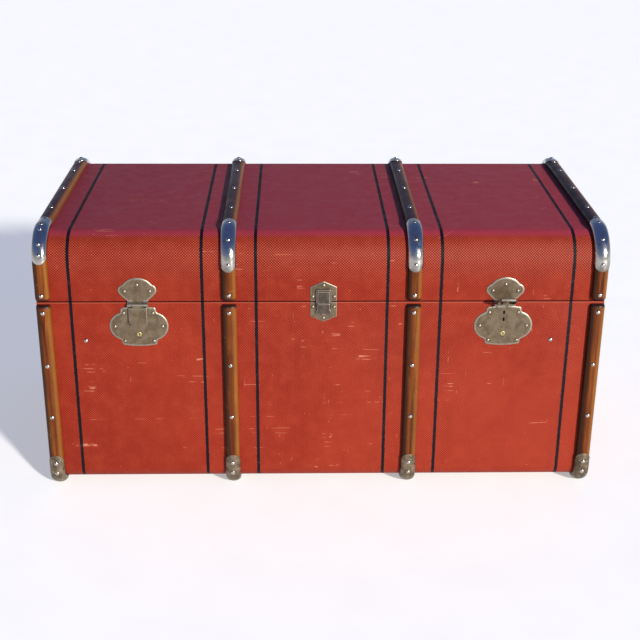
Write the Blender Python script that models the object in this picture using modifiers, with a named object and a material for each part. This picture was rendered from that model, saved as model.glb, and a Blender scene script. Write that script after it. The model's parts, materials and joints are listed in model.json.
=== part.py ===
"""A travel trunk: a wooden box and hinged lid under painted canvas, bound by bent slats.

Metres, +Z up, front towards -Y, +X on the right of someone facing the front. The origin is
on the floor, under the middle of the trunk's whole depth, which counts the raised hasp. The
pieces are modelled about the middle of the body, and set back from the origin at the end.
Heights on the front are given as a rise above the seam between base and lid, and distances
out from the canvas as how proud a face stands.
"""

import math

import bmesh
import bpy
from mathutils import Matrix, Vector

MM = 0.001
GAP = 0.3 * MM

# Body
SLAT_PITCH = 311 * MM
SLAT_WIDTH = 24 * MM
SLAT_RISE = 11.2 * MM
SLAT_ROUNDING = 4 * MM
SLAT_SEAM_GAP = 4.5 * MM
CAP_THICKNESS = 0.8 * MM
CAP_CLEAR_OF_CANVAS = 1.5 * MM
BODY_WIDTH = 3 * SLAT_PITCH + SLAT_WIDTH
BODY_DEPTH = 492 * MM
BODY_SETBACK = 14.3 * MM
FRONT = BODY_DEPTH / 2
BASE_HEIGHT = 342 * MM
LID_HEIGHT = 114 * MM
FLOOR_CLEARANCE = SLAT_RISE + GAP + CAP_THICKNESS
SEAM_Z = FLOOR_CLEARANCE + BASE_HEIGHT
TOP_Z = SEAM_Z + LID_HEIGHT
TOP_RADIUS = 48 * MM
BOTTOM_RADIUS = 25 * MM
BEND_STEPS = 6
WALL = 8 * MM
LINING = 1.2 * MM
LINING_DEPTH = WALL + GAP + LINING
LINING_SETBACK = 20 * MM

# Ring inside the rim that locates the lid
LIP_THICKNESS = 5 * MM
LIP_BELOW_SEAM = 30 * MM
LIP_ABOVE_SEAM = 15 * MM

# Metal fittings
SHEET = 1.2 * MM
PLATE_BACK = GAP
PLATE_FACE = PLATE_BACK + SHEET
RIVET_RADIUS = 2.6 * MM
RIVET_HEIGHT = 1.4 * MM
ROUND_STEPS = 20

# Caps over the bends of the slats
LID_CAP_TAIL = 10 * MM
LID_CAP_TOP = 14 * MM
FOOT_CAP_TAIL = 30 * MM
FOOT_CAP_UNDER = 14 * MM
SLIPPED_CAP = ("lid_cap", "front", "outer_left")
CAP_SLIP = 9.5 * MM

# Locks and their hasps
LOCK_X = 308.8 * MM
LOCK_RISE = -44.3 * MM
LOCK_SLOTS = (25.5 * MM, 12.7 * MM)
SLOT_SIZE = (3.2 * MM, 6.4 * MM)
SLOT_DROP = 1.2 * MM
PLUG_DROP = 14.3 * MM
PLUG_RADIUS = 4 * MM
PLUG_FLANGE_RADIUS = 5.5 * MM
CASE_HALF_WIDTH = 21 * MM
CASE_TOP = -13.9 * MM
CASE_BOTTOM = -66.5 * MM
CASE_SHEET = 0.8 * MM
CASE_DEPTH = 7.4 * MM
CAM_RADIUS = 3.5 * MM
CAM_PIN_RADIUS = 1 * MM
BOLT_FRONT = 1.6 * MM
BOLT_BACK = 2.8 * MM
HASP_PIN_RISE = -4 * MM
HASP_PIN_PROUD = 4.8 * MM
KNUCKLE_RADIUS = 3.2 * MM
PIN_RADIUS = 1.3 * MM
PIN_PLAY = 0.1 * MM
LEAF_WIDTH = 31.4 * MM
LEAF_TOP = -9 * MM
LEAF_BOTTOM = -40.4 * MM
LEAF_BACK = 3 * MM
LEAF_FACE = 8 * MM
LEAF_SHEET = 1.2 * MM
RIGHT_HASP_RAISED = math.radians(123)

# Draw latch in the middle of the front
LATCH_X = 3 * MM
LATCH_WIDTH = 44.8 * MM
LATCH_SHOULDER = 26.6 * MM
LATCH_APEX = 36.8 * MM
LEVER_PIN_RISE = -2.6 * MM
HOOK_PIN_RISE = -9.6 * MM
LATCH_PIN_PROUD = 3.6 * MM
LATCH_PIN_RADIUS = 1 * MM
LEVER_HALF_WIDTH = 10.8 * MM
LEVER_FOOT_HALF_WIDTH = 12.4 * MM
LEVER_FOOT_RISE = -12.8 * MM
LEVER_BOTTOM = -20.8 * MM
HOOK_HALF_WIDTH = 12.8 * MM
LATCH_SHEET = 1 * MM
LATCH_FACE = 7 * MM
LATCH_CHEEK_RADIUS = 2.1 * MM
LATCH_CHEEK_HALF_HEIGHT = 1.5 * MM
LEVER_EYE_RADIUS = 2 * MM
HOOK_BOTTOM = -1.8 * MM
HOOK_TOP = 23 * MM
HOOK_CATCH = 19.2 * MM

# Lid hinges on the back
HINGE_X = 311 * MM
HINGE_PROUD = 8.2 * MM
HINGE_WIDTH = 60 * MM
HINGE_LEAF = 42 * MM
HINGE_KNUCKLE_RADIUS = 3.3 * MM
HINGE_PIN_RADIUS = 1.5 * MM
HINGE_CENTRE_KNUCKLE = 29 * MM

# Handles on the ends
HANDLE_Z = 262 * MM
HANDLE_SPAN = 128 * MM
HANDLE_DROP = 46 * MM
HANDLE_RADIUS = 6.5 * MM
HANDLE_PROUD = 9 * MM
HANDLE_CORNER = 22 * MM

SIDES = {"left": -1, "right": 1}
SLATS = {
    "outer_left": -1.5 * SLAT_PITCH,
    "inner_left": -0.5 * SLAT_PITCH,
    "inner_right": 0.5 * SLAT_PITCH,
    "outer_right": 1.5 * SLAT_PITCH,
}


def clear_scene():
    for obj in list(bpy.data.objects):
        bpy.data.objects.remove(obj)
    for name in ("steamer_trunk", "cutters"):
        bpy.context.scene.collection.children.link(bpy.data.collections.new(name))


def material(name, color, roughness, metallic=0.0):
    made = bpy.data.materials.new(name)
    made.use_nodes = True
    shader = made.node_tree.nodes["Principled BSDF"]
    shader.inputs["Base Color"].default_value = (*color, 1)
    shader.inputs["Roughness"].default_value = roughness
    shader.inputs["Metallic"].default_value = metallic
    made.diffuse_color = (*color, 1)
    return made


def painted_canvas(name):
    return material(name, (0.39, 0.04, 0.022), 0.5)


def varnished_wood(name):
    return material(name, (0.27, 0.115, 0.03), 0.35)


def nickel(name):
    return material(name, (0.46, 0.43, 0.38), 0.3, 1.0)


def brass(name):
    return material(name, (0.74, 0.5, 0.17), 0.3, 1.0)


def lining_paper(name):
    return material(name, (0.55, 0.46, 0.33), 0.85)


def brown_leather(name):
    return material(name, (0.12, 0.05, 0.02), 0.55)


def mesh_object(name, shape, origin, collection):
    """An object from a bmesh held in world coordinates, with its origin at the point given."""
    bmesh.ops.translate(shape, verts=shape.verts, vec=-Vector(origin))
    mesh = bpy.data.meshes.new(name)
    shape.to_mesh(mesh)
    shape.free()
    mesh.shade_smooth()
    mesh.set_sharp_from_angle(angle=math.radians(30))
    made = bpy.data.objects.new(name, mesh)
    made.location = origin
    bpy.data.collections[collection].objects.link(made)
    return made


def piece(name, shape, finish, origin=(0, 0, 0)):
    made = mesh_object(name, shape, origin, "steamer_trunk")
    made.data.materials.append(finish(name))
    return made


def combine(obj, operation, shapes):
    """Joins each shape to the object, or cuts it away, with a Boolean modifier of its own."""
    for shape in shapes:
        name = f"{obj.name}_{operation.lower()}_{len(obj.modifiers)}"
        helper = mesh_object(name, shape, obj.location, "cutters")
        helper.location = (0, 0, 0)
        helper.parent = obj
        helper.hide_render = True
        helper.display_type = "WIRE"
        boolean = obj.modifiers.new(name, "BOOLEAN")
        boolean.operation = operation
        boolean.object = helper


def join(obj, *shapes):
    combine(obj, "UNION", shapes)


def cut(obj, *shapes):
    combine(obj, "DIFFERENCE", shapes)


def solidify(obj, thickness):
    """Thickens an open surface inwards."""
    shell = obj.modifiers.new("wall", "SOLIDIFY")
    shell.thickness = thickness
    shell.offset = -1
    shell.use_even_offset = True


def box(low, high):
    """A cuboid between two corners."""
    low, high = Vector(low), Vector(high)
    shape = bmesh.new()
    size = Matrix.Diagonal((*(high - low), 1))
    bmesh.ops.create_cube(shape, size=1, matrix=Matrix.Translation((low + high) / 2) @ size)
    return shape


def rod(start, end, radius, steps=ROUND_STEPS):
    """A round bar between two points."""
    start, end = Vector(start), Vector(end)
    turned = (end - start).to_track_quat("Z", "Y").to_matrix().to_4x4()
    shape = bmesh.new()
    bmesh.ops.create_cone(
        shape,
        cap_ends=True,
        segments=steps,
        radius1=radius,
        radius2=radius,
        depth=(end - start).length,
        matrix=Matrix.Translation((start + end) / 2) @ turned,
    )
    return shape


def slab(points, sweep):
    """A solid whose flat outline is swept along a vector."""
    shape = bmesh.new()
    face = shape.faces.new([shape.verts.new(point) for point in points])
    swept = bmesh.ops.extrude_face_region(shape, geom=[face])
    moved = [item for item in swept["geom"] if isinstance(item, bmesh.types.BMVert)]
    bmesh.ops.translate(shape, verts=moved, vec=sweep)
    bmesh.ops.recalc_face_normals(shape, faces=shape.faces)
    return shape


def arc(centre, radius, start, end, steps=6):
    """Points along an arc, its angles in degrees and counted anticlockwise."""
    turns = [math.radians(start + (end - start) * step / steps) for step in range(steps + 1)]
    return [(centre[0] + radius * math.cos(a), centre[1] + radius * math.sin(a)) for a in turns]


def mirrored(points):
    """The outline of a shape whose right half is given from its top to its bottom."""
    return points + [(-x, z) for x, z in reversed(points) if abs(x) > GAP]


def front(x, rise, proud):
    return Vector((x, -FRONT - proud, SEAM_Z + rise))


def front_slab(outline, x, rise, back, face):
    """A plate on the front from its outline, between two distances out from the canvas."""
    return slab([front(x + px, rise + pz, back) for px, pz in outline], (0, back - face, 0))


def front_box(x_range, rise_range, proud_range):
    (x0, x1), (z0, z1), (p0, p1) = x_range, rise_range, proud_range
    return box(front(x0, z0, p1), front(x1, z1, p0))


def front_rod(x_range, rise, proud, radius):
    return rod(front(x_range[0], rise, proud), front(x_range[1], rise, proud), radius)


def rivet(x, rise, face=PLATE_FACE):
    """A domed rivet head whose foot is sunk in the plate it holds."""
    shape = bmesh.new()
    bmesh.ops.create_uvsphere(shape, u_segments=8, v_segments=6, radius=RIVET_RADIUS)
    flat = Matrix.Diagonal((1, RIVET_HEIGHT / RIVET_RADIUS, 1, 1))
    place = Matrix.Translation(front(x, rise, face - GAP / 2))
    bmesh.ops.transform(shape, verts=shape.verts, matrix=place @ flat)
    buried = front(x, rise, face - 0.5 * SHEET)
    geometry = shape.verts[:] + shape.edges[:] + shape.faces[:]
    bmesh.ops.bisect_plane(
        shape, geom=geometry, plane_co=buried, plane_no=(0, 1, 0), clear_outer=True
    )
    rim = [edge for edge in shape.edges if edge.is_boundary]
    bmesh.ops.contextual_create(shape, geom=rim)
    bmesh.ops.recalc_face_normals(shape, faces=shape.faces)
    return shape


def body_box(inset, z_low, z_high, radius, open_up):
    """The outer skin of a box with two rounded long edges, open at the seam."""
    half_x = BODY_WIDTH / 2 - inset
    half_y = FRONT - inset
    shape = box((-half_x, -half_y, z_low), (half_x, half_y, z_high))
    closed_z = z_low if open_up else z_high
    long_edges = [
        edge
        for edge in shape.edges
        if all(abs(v.co.z - closed_z) < GAP for v in edge.verts)
        and abs(edge.verts[0].co.y - edge.verts[1].co.y) < GAP
    ]
    open_z = z_high if open_up else z_low
    rim = [face for face in shape.faces if abs(face.calc_center_median().z - open_z) < GAP]
    bmesh.ops.delete(shape, geom=rim, context="FACES_ONLY")
    bmesh.ops.bevel(
        shape, geom=long_edges, offset=radius, segments=BEND_STEPS, profile=0.5, affect="EDGES"
    )
    return shape


def make_base_body():
    rim = SEAM_Z - GAP
    shell = piece(
        "base_shell",
        body_box(0, FLOOR_CLEARANCE, rim, BOTTOM_RADIUS, True),
        painted_canvas,
    )
    solidify(shell, WALL)
    for side in SIDES.values():
        half = CASE_HALF_WIDTH + GAP
        across = (side * LOCK_X - half, side * LOCK_X + half)
        up = (CASE_BOTTOM - GAP, CASE_TOP + GAP)
        cut(shell, front_box(across, up, (-WALL - 2 * MM, 2 * MM)))
    inset = WALL + GAP
    lining = piece(
        "base_lining",
        body_box(
            inset, FLOOR_CLEARANCE + inset, rim - LINING_SETBACK, BOTTOM_RADIUS - inset, True
        ),
        lining_paper,
    )
    solidify(lining, LINING)


def make_lid_body():
    rim = SEAM_Z + GAP
    shell = piece("lid_shell", body_box(0, rim, TOP_Z, TOP_RADIUS, False), painted_canvas)
    solidify(shell, WALL)
    inset = WALL + GAP
    lining = piece(
        "lid_lining",
        body_box(inset, rim + LINING_SETBACK, TOP_Z - inset, TOP_RADIUS - inset, False),
        lining_paper,
    )
    solidify(lining, LINING)


def make_lip():
    """A wooden frame inside the rim of the base, standing up into the lid."""
    inset = LINING_DEPTH + GAP
    half_x = BODY_WIDTH / 2 - inset
    half_y = FRONT - inset
    shape = box(
        (-half_x, -half_y, SEAM_Z - LIP_BELOW_SEAM), (half_x, half_y, SEAM_Z + LIP_ABOVE_SEAM)
    )
    shape.faces.ensure_lookup_table()
    ends = [face for face in shape.faces if abs(face.normal.z) > 0.5]
    bmesh.ops.delete(shape, geom=ends, context="FACES_ONLY")
    solidify(piece("base_lip", shape, varnished_wood), LIP_THICKNESS)


def wrapped_path(offset, in_lid):
    """The bends of a line at one distance out from the canvas, from the front to the back."""
    radius = TOP_RADIUS if in_lid else BOTTOM_RADIUS
    centre_z = TOP_Z - radius if in_lid else FLOOR_CLEARANCE + radius
    turn = 90 if in_lid else -90
    centre_y = FRONT - radius
    front_bend = arc((-centre_y, centre_z), radius + offset, 180, 180 - turn, BEND_STEPS)
    back_bend = arc((centre_y, centre_z), radius + offset, turn, 0, BEND_STEPS)
    return front_bend, back_bend


def band(x, width, inner, outer, rounding):
    """A strip between two lines in the plane of X, its outer long edges rounded."""
    outline = [(x - width / 2, y, z) for y, z in inner + list(reversed(outer))]
    shape = slab(outline, (width, 0, 0))
    corners = {(round(y, 6), round(z, 6)) for y, z in outer}
    crown = [
        edge
        for edge in shape.edges
        if abs(edge.verts[0].co.x - edge.verts[1].co.x) < GAP
        and all((round(v.co.y, 6), round(v.co.z, 6)) in corners for v in edge.verts)
    ]
    bmesh.ops.bevel(
        shape, geom=crown, offset=rounding, segments=2, profile=0.5, affect="EDGES"
    )
    return shape


def make_slats():
    for in_lid, name in ((False, "base_slat"), (True, "lid_slat")):
        end = SEAM_Z + (SLAT_SEAM_GAP if in_lid else -SLAT_SEAM_GAP)
        lines = []
        for offset in (GAP, SLAT_RISE):
            front_bend, back_bend = wrapped_path(offset, in_lid)
            ends = [(-FRONT - offset, end)], [(FRONT + offset, end)]
            lines.append(ends[0] + front_bend + back_bend + ends[1])
        for place, x in SLATS.items():
            shape = band(x, SLAT_WIDTH, lines[0], lines[1], SLAT_ROUNDING)
            piece(f"{name}_{place}", shape, varnished_wood)


def cap_line(offset, in_lid, tail, top):
    """A line round the front bend: up the front for the tail, and along the flat for the top."""
    bend, _ = wrapped_path(offset, in_lid)
    (y0, z0), (y1, z1) = bend[0], bend[-1]
    away = -tail if in_lid else tail
    return [(y0, z0 + away)] + bend + [(y1 + top, z1)]


def make_caps():
    kinds = (
        ("lid_cap", True, LID_CAP_TAIL, LID_CAP_TOP),
        ("foot_cap", False, FOOT_CAP_TAIL, FOOT_CAP_UNDER),
    )
    slat_space = SLAT_RISE + GAP
    beyond = 5 * MM
    for name, in_lid, tail, top in kinds:
        for end, mirror in (("front", 1), ("rear", -1)):
            for place, x in SLATS.items():
                slip = CAP_SLIP if (name, end, place) == SLIPPED_CAP else 0
                span = (tail - slip, top + slip)
                beyond = (tail - slip + 5 * MM, top + slip + 5 * MM)
                lines = (
                    cap_line(CAP_CLEAR_OF_CANVAS, in_lid, *span),
                    cap_line(slat_space + CAP_THICKNESS, in_lid, *span),
                    cap_line(-5 * MM, in_lid, *beyond),
                    cap_line(slat_space, in_lid, *beyond),
                )
                turned = [[(mirror * y, z) for y, z in line] for line in lines]
                width = SLAT_WIDTH + 2 * GAP
                rounding = SLAT_ROUNDING + GAP
                skin = band(
                    x,
                    width + 2 * CAP_THICKNESS,
                    turned[0],
                    turned[1],
                    rounding + CAP_THICKNESS,
                )
                cap = piece(f"{name}_{end}_{place}", skin, nickel)
                cut(cap, band(x, width, turned[2], turned[3], rounding))


def lock_outline():
    """The right half of the lock plate: a flat crown, a nick, and a wide round lobe."""
    crown = arc((0, -113.4 * MM), 150 * MM, 90, 80.3, 3)
    shoulder = arc((24.9 * MM, 29.6 * MM), 5 * MM, 70, -5, 3)
    nick = arc((34.9 * MM, 28.7 * MM), 5 * MM, 180, 249, 3)
    lobe = arc((24.3 * MM, 0), 25.6 * MM, 68, 0, 5)
    upper = crown + shoulder + nick + lobe
    return upper + [(x, -z) for x, z in reversed(upper[:-1])]


def lock_rivets():
    corners = [(24.5 * MM * side, rise) for side in (-1, 1) for rise in (24.2 * MM, -26.8 * MM)]
    return corners + [(-40 * MM, 0), (40 * MM, 0)]


def make_lock(side_name, side):
    x = side * LOCK_X
    outline = mirrored(lock_outline())[:-1]
    plate = piece(
        f"lock_plate_{side_name}",
        front_slab(outline, x, LOCK_RISE, PLATE_BACK, PLATE_FACE),
        nickel,
    )
    join(plate, *[rivet(x + rx, LOCK_RISE + rz) for rx, rz in lock_rivets()])
    half = SLOT_SIZE[0] / 2
    for slot in LOCK_SLOTS:
        centre = LOCK_RISE + slot - SLOT_DROP
        up = (centre - SLOT_SIZE[1] / 2, centre + SLOT_SIZE[1] / 2)
        cut(plate, front_box((x - half, x + half), up, (-2 * MM, 4 * MM)))
    plug_rise = LOCK_RISE - PLUG_DROP
    hole = PLUG_RADIUS + PIN_PLAY
    cut(plate, rod(front(x, plug_rise, -2 * MM), front(x, plug_rise, 4 * MM), hole))

    half = CASE_HALF_WIDTH
    case = piece(
        f"lock_case_{side_name}",
        front_box((x - half, x + half), (CASE_BOTTOM, CASE_TOP), (-CASE_DEPTH, 0)),
        nickel,
    )
    inner = half - CASE_SHEET
    heights = (CASE_BOTTOM + CASE_SHEET, CASE_TOP - CASE_SHEET)
    cut(case, front_box((x - inner, x + inner), heights, (CASE_SHEET - CASE_DEPTH, 2 * MM)))
    make_plug(side_name, x, plug_rise)
    make_bolt(side_name, x, plug_rise)


def make_plug(side_name, x, rise):
    """The key plug, with a flange behind the plate and an eccentric pin that throws the bolt."""
    plug = piece(
        f"lock_plug_{side_name}",
        rod(front(x, rise, -1 * MM), front(x, rise, PLATE_FACE + GAP), PLUG_RADIUS),
        brass,
        front(x, rise, 0),
    )
    join(plug, rod(front(x, rise, -1.2 * MM), front(x, rise, -0.2 * MM), PLUG_FLANGE_RADIUS))
    offset = CAM_RADIUS * math.sin(math.radians(45))
    pin_x, pin_rise = x - offset, rise + offset
    pin = rod(
        front(pin_x, pin_rise, -BOLT_BACK - GAP), front(pin_x, pin_rise, -1 * MM), CAM_PIN_RADIUS, 12
    )
    join(plug, pin)
    keyway = 0.7 * MM
    cut(
        plug,
        front_box((x - keyway, x + keyway), (rise - 2.8 * MM, rise + 1.4 * MM), (0.4 * MM, 4 * MM)),
    )


def make_bolt(side_name, x, plug_rise):
    """The bolt: a stem with two fingers for the hasp's prongs and a fork round the plug's pin."""
    offset = CAM_RADIUS * math.sin(math.radians(45))
    slot = CAM_PIN_RADIUS + 0.35 * MM
    tine = 2 * MM
    stem = (-11.5 * MM, -6.5 * MM)
    tip = -2.4 * MM
    foot, crotch, shelf = -58 * MM, -53.5 * MM, -50 * MM
    points = [(stem[0], foot), (-offset - slot, foot), (-offset - slot, crotch)]
    points += [(-offset + slot, crotch), (-offset + slot, foot), (-offset + slot + tine, foot)]
    points += [(-offset + slot + tine, shelf), (stem[1], shelf)]
    for drop in reversed(LOCK_SLOTS):
        low = LOCK_RISE + drop + 1.5 * MM
        points += [(stem[1], low), (tip, low), (tip, low + 2 * MM), (stem[1], low + 2 * MM)]
    points[-1] = (stem[0], points[-1][1])
    shape = front_slab(points, x, 0, -BOLT_BACK, -BOLT_FRONT)
    piece(f"lock_bolt_{side_name}", shape, brass)


def hasp_outline():
    """The right half of the hasp's plate: a dome, a nick, a side lobe and a neck."""
    dome = arc((0, 13.4 * MM), 30 * MM, 90, 38, 4)
    nick = arc((25.9 * MM, 33.1 * MM), 2.5 * MM, 215, 250, 2)
    lobe = arc((21.9 * MM, 20.8 * MM), 10.4 * MM, 68, -52, 6)
    neck = [(22.3 * MM, 6.4 * MM), (18.6 * MM, 3.2 * MM), (17.7 * MM, 1.5 * MM)]
    return dome + nick + lobe + neck + [(17.7 * MM, -2 * MM)]


def make_hasp(side_name, side):
    x = side * LOCK_X
    plate = piece(
        f"hasp_plate_{side_name}",
        front_slab(mirrored(hasp_outline()), x, 0, PLATE_BACK, PLATE_FACE),
        nickel,
    )
    spots = ((0, 30.8 * MM), (-21 * MM, 19.3 * MM), (21 * MM, 19.3 * MM))
    join(plate, *[rivet(x + rx, rz) for rx, rz in spots])
    knuckles = ((x - 17.5 * MM, x - 9 * MM), (x + 9 * MM, x + 17.5 * MM))
    for across in knuckles:
        join(
            plate,
            front_rod(across, HASP_PIN_RISE, HASP_PIN_PROUD, KNUCKLE_RADIUS),
            front_box(across, (HASP_PIN_RISE, 0.5 * MM), (0.6 * MM, HASP_PIN_PROUD)),
        )
    pin = front_rod((x - 17 * MM, x + 17 * MM), HASP_PIN_RISE, HASP_PIN_PROUD, PIN_RADIUS)
    join(plate, pin)
    make_hasp_leaf(side_name, x)


def make_hasp_leaf(side_name, x):
    """The leaf: a shallow pan with a centre knuckle and two prongs for the lock."""
    pin = front(x, HASP_PIN_RISE, HASP_PIN_PROUD)
    half = LEAF_WIDTH / 2
    foot = half - 4.2 * MM
    outline = [(half, LEAF_TOP), (half, LEAF_BOTTOM + 6 * MM), (foot, LEAF_BOTTOM)]
    leaf = piece(
        f"hasp_leaf_{side_name}",
        front_slab(mirrored(outline), x, 0, LEAF_BACK, LEAF_FACE),
        nickel,
        pin,
    )
    inner = half - LEAF_SHEET
    low = LEAF_BOTTOM + LEAF_SHEET
    hollow = [(inner, LEAF_TOP - LEAF_SHEET), (inner, low + 5.5 * MM), (foot - 0.6 * MM, low)]
    cut(leaf, front_slab(mirrored(hollow), x, 0, LEAF_BACK - 2 * MM, LEAF_FACE - LEAF_SHEET))
    knuckle = (x - 8.7 * MM, x + 8.7 * MM)
    join(
        leaf,
        front_rod(knuckle, HASP_PIN_RISE, HASP_PIN_PROUD, KNUCKLE_RADIUS),
        front_box(knuckle, (LEAF_TOP - 0.5 * MM, HASP_PIN_RISE), (6.4 * MM, LEAF_FACE - 0.1 * MM)),
    )
    bore = (x - 10 * MM, x + 10 * MM)
    cut(leaf, front_rod(bore, HASP_PIN_RISE, HASP_PIN_PROUD, PIN_RADIUS + PIN_PLAY))
    prong = 1.2 * MM
    for slot in LOCK_SLOTS:
        rise = LOCK_RISE + slot
        across = (x - prong, x + prong)
        nib = (rise + prong - GAP, rise + 2 * prong)
        join(
            leaf,
            front_box(across, (rise - prong, rise + prong), (-4.5 * MM, LEAF_FACE - 0.5 * MM)),
            front_box(across, nib, (-4.5 * MM, -3.1 * MM)),
        )
    if side_name == "right":
        leaf.rotation_euler.x = -RIGHT_HASP_RAISED


def latch_outline(direction):
    """The right half of one half of the hexagonal latch plate, from the seam outwards."""
    edge = 1 * MM
    half = LATCH_WIDTH / 2
    return [(0, direction * LATCH_APEX), (half, direction * LATCH_SHOULDER), (half, direction * edge)]


def on_latch(low, high):
    """A span across the latch, given from its own middle."""
    return (LATCH_X + low, LATCH_X + high)


def make_latch_plates():
    lower = piece(
        "latch_plate",
        front_slab(mirrored(latch_outline(-1)), LATCH_X, 0, PLATE_BACK, PLATE_FACE),
        nickel,
    )
    upper = piece(
        "latch_keeper",
        front_slab(mirrored(latch_outline(1)), LATCH_X, 0, PLATE_BACK, PLATE_FACE),
        nickel,
    )
    for plate, direction in ((lower, -1), (upper, 1)):
        spots = ((0, 29.3 * MM), (-18 * MM, 9.3 * MM), (18 * MM, 9.3 * MM))
        join(plate, *[rivet(LATCH_X + rx, direction * rz) for rx, rz in spots])
    for side in SIDES.values():
        across = on_latch(*sorted((side * 8.3 * MM, side * 9.4 * MM)))
        half_height = LATCH_CHEEK_HALF_HEIGHT
        up = (LEVER_PIN_RISE - half_height, LEVER_PIN_RISE + half_height)
        join(lower, front_box(across, up, (0.8 * MM, LATCH_PIN_PROUD)))
        join(lower, front_rod(across, LEVER_PIN_RISE, LATCH_PIN_PROUD, LATCH_CHEEK_RADIUS))
        bore = on_latch(*sorted((side * 7 * MM, side * 10.5 * MM)))
        hole = LATCH_PIN_RADIUS + PIN_PLAY / 2
        cut(lower, front_rod(bore, LEVER_PIN_RISE, LATCH_PIN_PROUD, hole))
    rib = on_latch(-9 * MM, 9 * MM)
    join(upper, front_box(rib, (15 * MM, 18.4 * MM), (0.8 * MM, 4.2 * MM)))


def lever_outline(margin):
    """The right half of the lever's cover: narrow between the hook's legs, and wider below them."""
    half = LEVER_HALF_WIDTH - margin
    foot = LEVER_FOOT_HALF_WIDTH - margin
    shelf = LEVER_FOOT_RISE - margin
    top = LEVER_PIN_RISE + 0.2 * MM + margin
    return [(half, top), (half, shelf), (foot, shelf), (foot, LEVER_BOTTOM - margin)]


def make_latch_lever():
    """The lever: a cover with two eyes, turning on the latch pin and carrying the hook's pin."""
    axle = front(LATCH_X, LEVER_PIN_RISE, LATCH_PIN_PROUD)
    half = LEVER_HALF_WIDTH
    lever = piece(
        "latch_lever",
        front_slab(mirrored(lever_outline(0)), LATCH_X, 0, 2.4 * MM, LATCH_FACE),
        nickel,
        axle,
    )
    hollow = mirrored(lever_outline(LATCH_SHEET))
    cut(lever, front_slab(hollow, LATCH_X, 0, -2 * MM, LATCH_FACE - LATCH_SHEET))
    for side in SIDES.values():
        across = on_latch(*sorted((side * (half - LATCH_SHEET), side * half)))
        join(lever, front_rod(across, LEVER_PIN_RISE, LATCH_PIN_PROUD, LEVER_EYE_RADIUS))
    hole = LATCH_PIN_RADIUS + PIN_PLAY
    bore = on_latch(-half - 2 * MM, half + 2 * MM)
    cut(lever, front_rod(bore, LEVER_PIN_RISE, LATCH_PIN_PROUD, hole))
    stub = on_latch(-HOOK_HALF_WIDTH, HOOK_HALF_WIDTH)
    join(lever, front_rod(stub, HOOK_PIN_RISE, LATCH_PIN_PROUD, LATCH_PIN_RADIUS))
    span = on_latch(-half, half)
    pin = front_rod(span, LEVER_PIN_RISE, LATCH_PIN_PROUD, LATCH_PIN_RADIUS)
    piece("latch_pin", pin, nickel)


def make_latch_hook():
    """The hook: a plate with a lip over the keeper's rib, and a leg down each side of the lever."""
    pin = front(LATCH_X, HOOK_PIN_RISE, LATCH_PIN_PROUD)
    half = HOOK_HALF_WIDTH
    hook = piece(
        "latch_hook",
        front_box(on_latch(-half, half), (HOOK_BOTTOM, HOOK_TOP), (2.2 * MM, LATCH_FACE)),
        nickel,
        pin,
    )
    inner = half - LATCH_SHEET
    hollow = (-2 * MM, LATCH_FACE - LATCH_SHEET)
    cut(hook, front_box(on_latch(-inner, inner), (HOOK_BOTTOM - 2 * MM, HOOK_CATCH), hollow))
    for side in SIDES.values():
        across = on_latch(*sorted((side * inner, side * half)))
        leg = (HOOK_PIN_RISE - 2.2 * MM, HOOK_BOTTOM + 1 * MM)
        join(hook, front_box(across, leg, (2.2 * MM, 5 * MM)))
        bore = on_latch(*sorted((side * (inner - 1 * MM), side * (half + 2 * MM))))
        hole = LATCH_PIN_RADIUS + PIN_PLAY
        cut(hook, front_rod(bore, HOOK_PIN_RISE, LATCH_PIN_PROUD, hole))


def back(x, rise, proud):
    return Vector((x, FRONT + proud, SEAM_Z + rise))


def make_hinge(side_name, side):
    """One lid hinge: two leaves on the back, their knuckles, and the pin through them."""
    x = side * HINGE_X
    half = HINGE_WIDTH / 2
    centre = HINGE_CENTRE_KNUCKLE / 2
    outer = centre + GAP
    hole = HINGE_PIN_RADIUS + PIN_PLAY
    leaves = (
        ("hinge_leaf_base", -1, ((-half, -outer), (outer, half))),
        ("hinge_leaf_lid", 1, ((-centre, centre),)),
    )
    for name, direction, knuckles in leaves:
        leaf_ends = sorted((direction * 5 * MM, direction * HINGE_LEAF))
        shape = box(
            back(x - half, leaf_ends[0], PLATE_BACK), back(x + half, leaf_ends[1], PLATE_FACE)
        )
        leaf = piece(f"{name}_{side_name}", shape, nickel)
        for low, high in knuckles:
            web = sorted((0, direction * 6 * MM))
            join(
                leaf,
                box(back(x + low, web[0], PLATE_BACK), back(x + high, web[1], HINGE_PROUD)),
                rod(
                    back(x + low, 0, HINGE_PROUD),
                    back(x + high, 0, HINGE_PROUD),
                    HINGE_KNUCKLE_RADIUS,
                ),
            )
        beyond = half + 5 * MM
        cut(leaf, rod(back(x - beyond, 0, HINGE_PROUD), back(x + beyond, 0, HINGE_PROUD), hole))
    pin = rod(back(x - half, 0, HINGE_PROUD), back(x + half, 0, HINGE_PROUD), HINGE_PIN_RADIUS)
    piece(f"hinge_pin_{side_name}", pin, nickel)


def end_wall(side, y, z, proud):
    return Vector((side * (BODY_WIDTH / 2 + proud), y, z))


def end_box(side, y_range, z_range, proud_range):
    corners = [
        end_wall(side, y, z, proud) for y, z, proud in zip(y_range, z_range, proud_range)
    ]
    low = Vector(min(pair) for pair in zip(*corners))
    high = Vector(max(pair) for pair in zip(*corners))
    return box(low, high)


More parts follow.
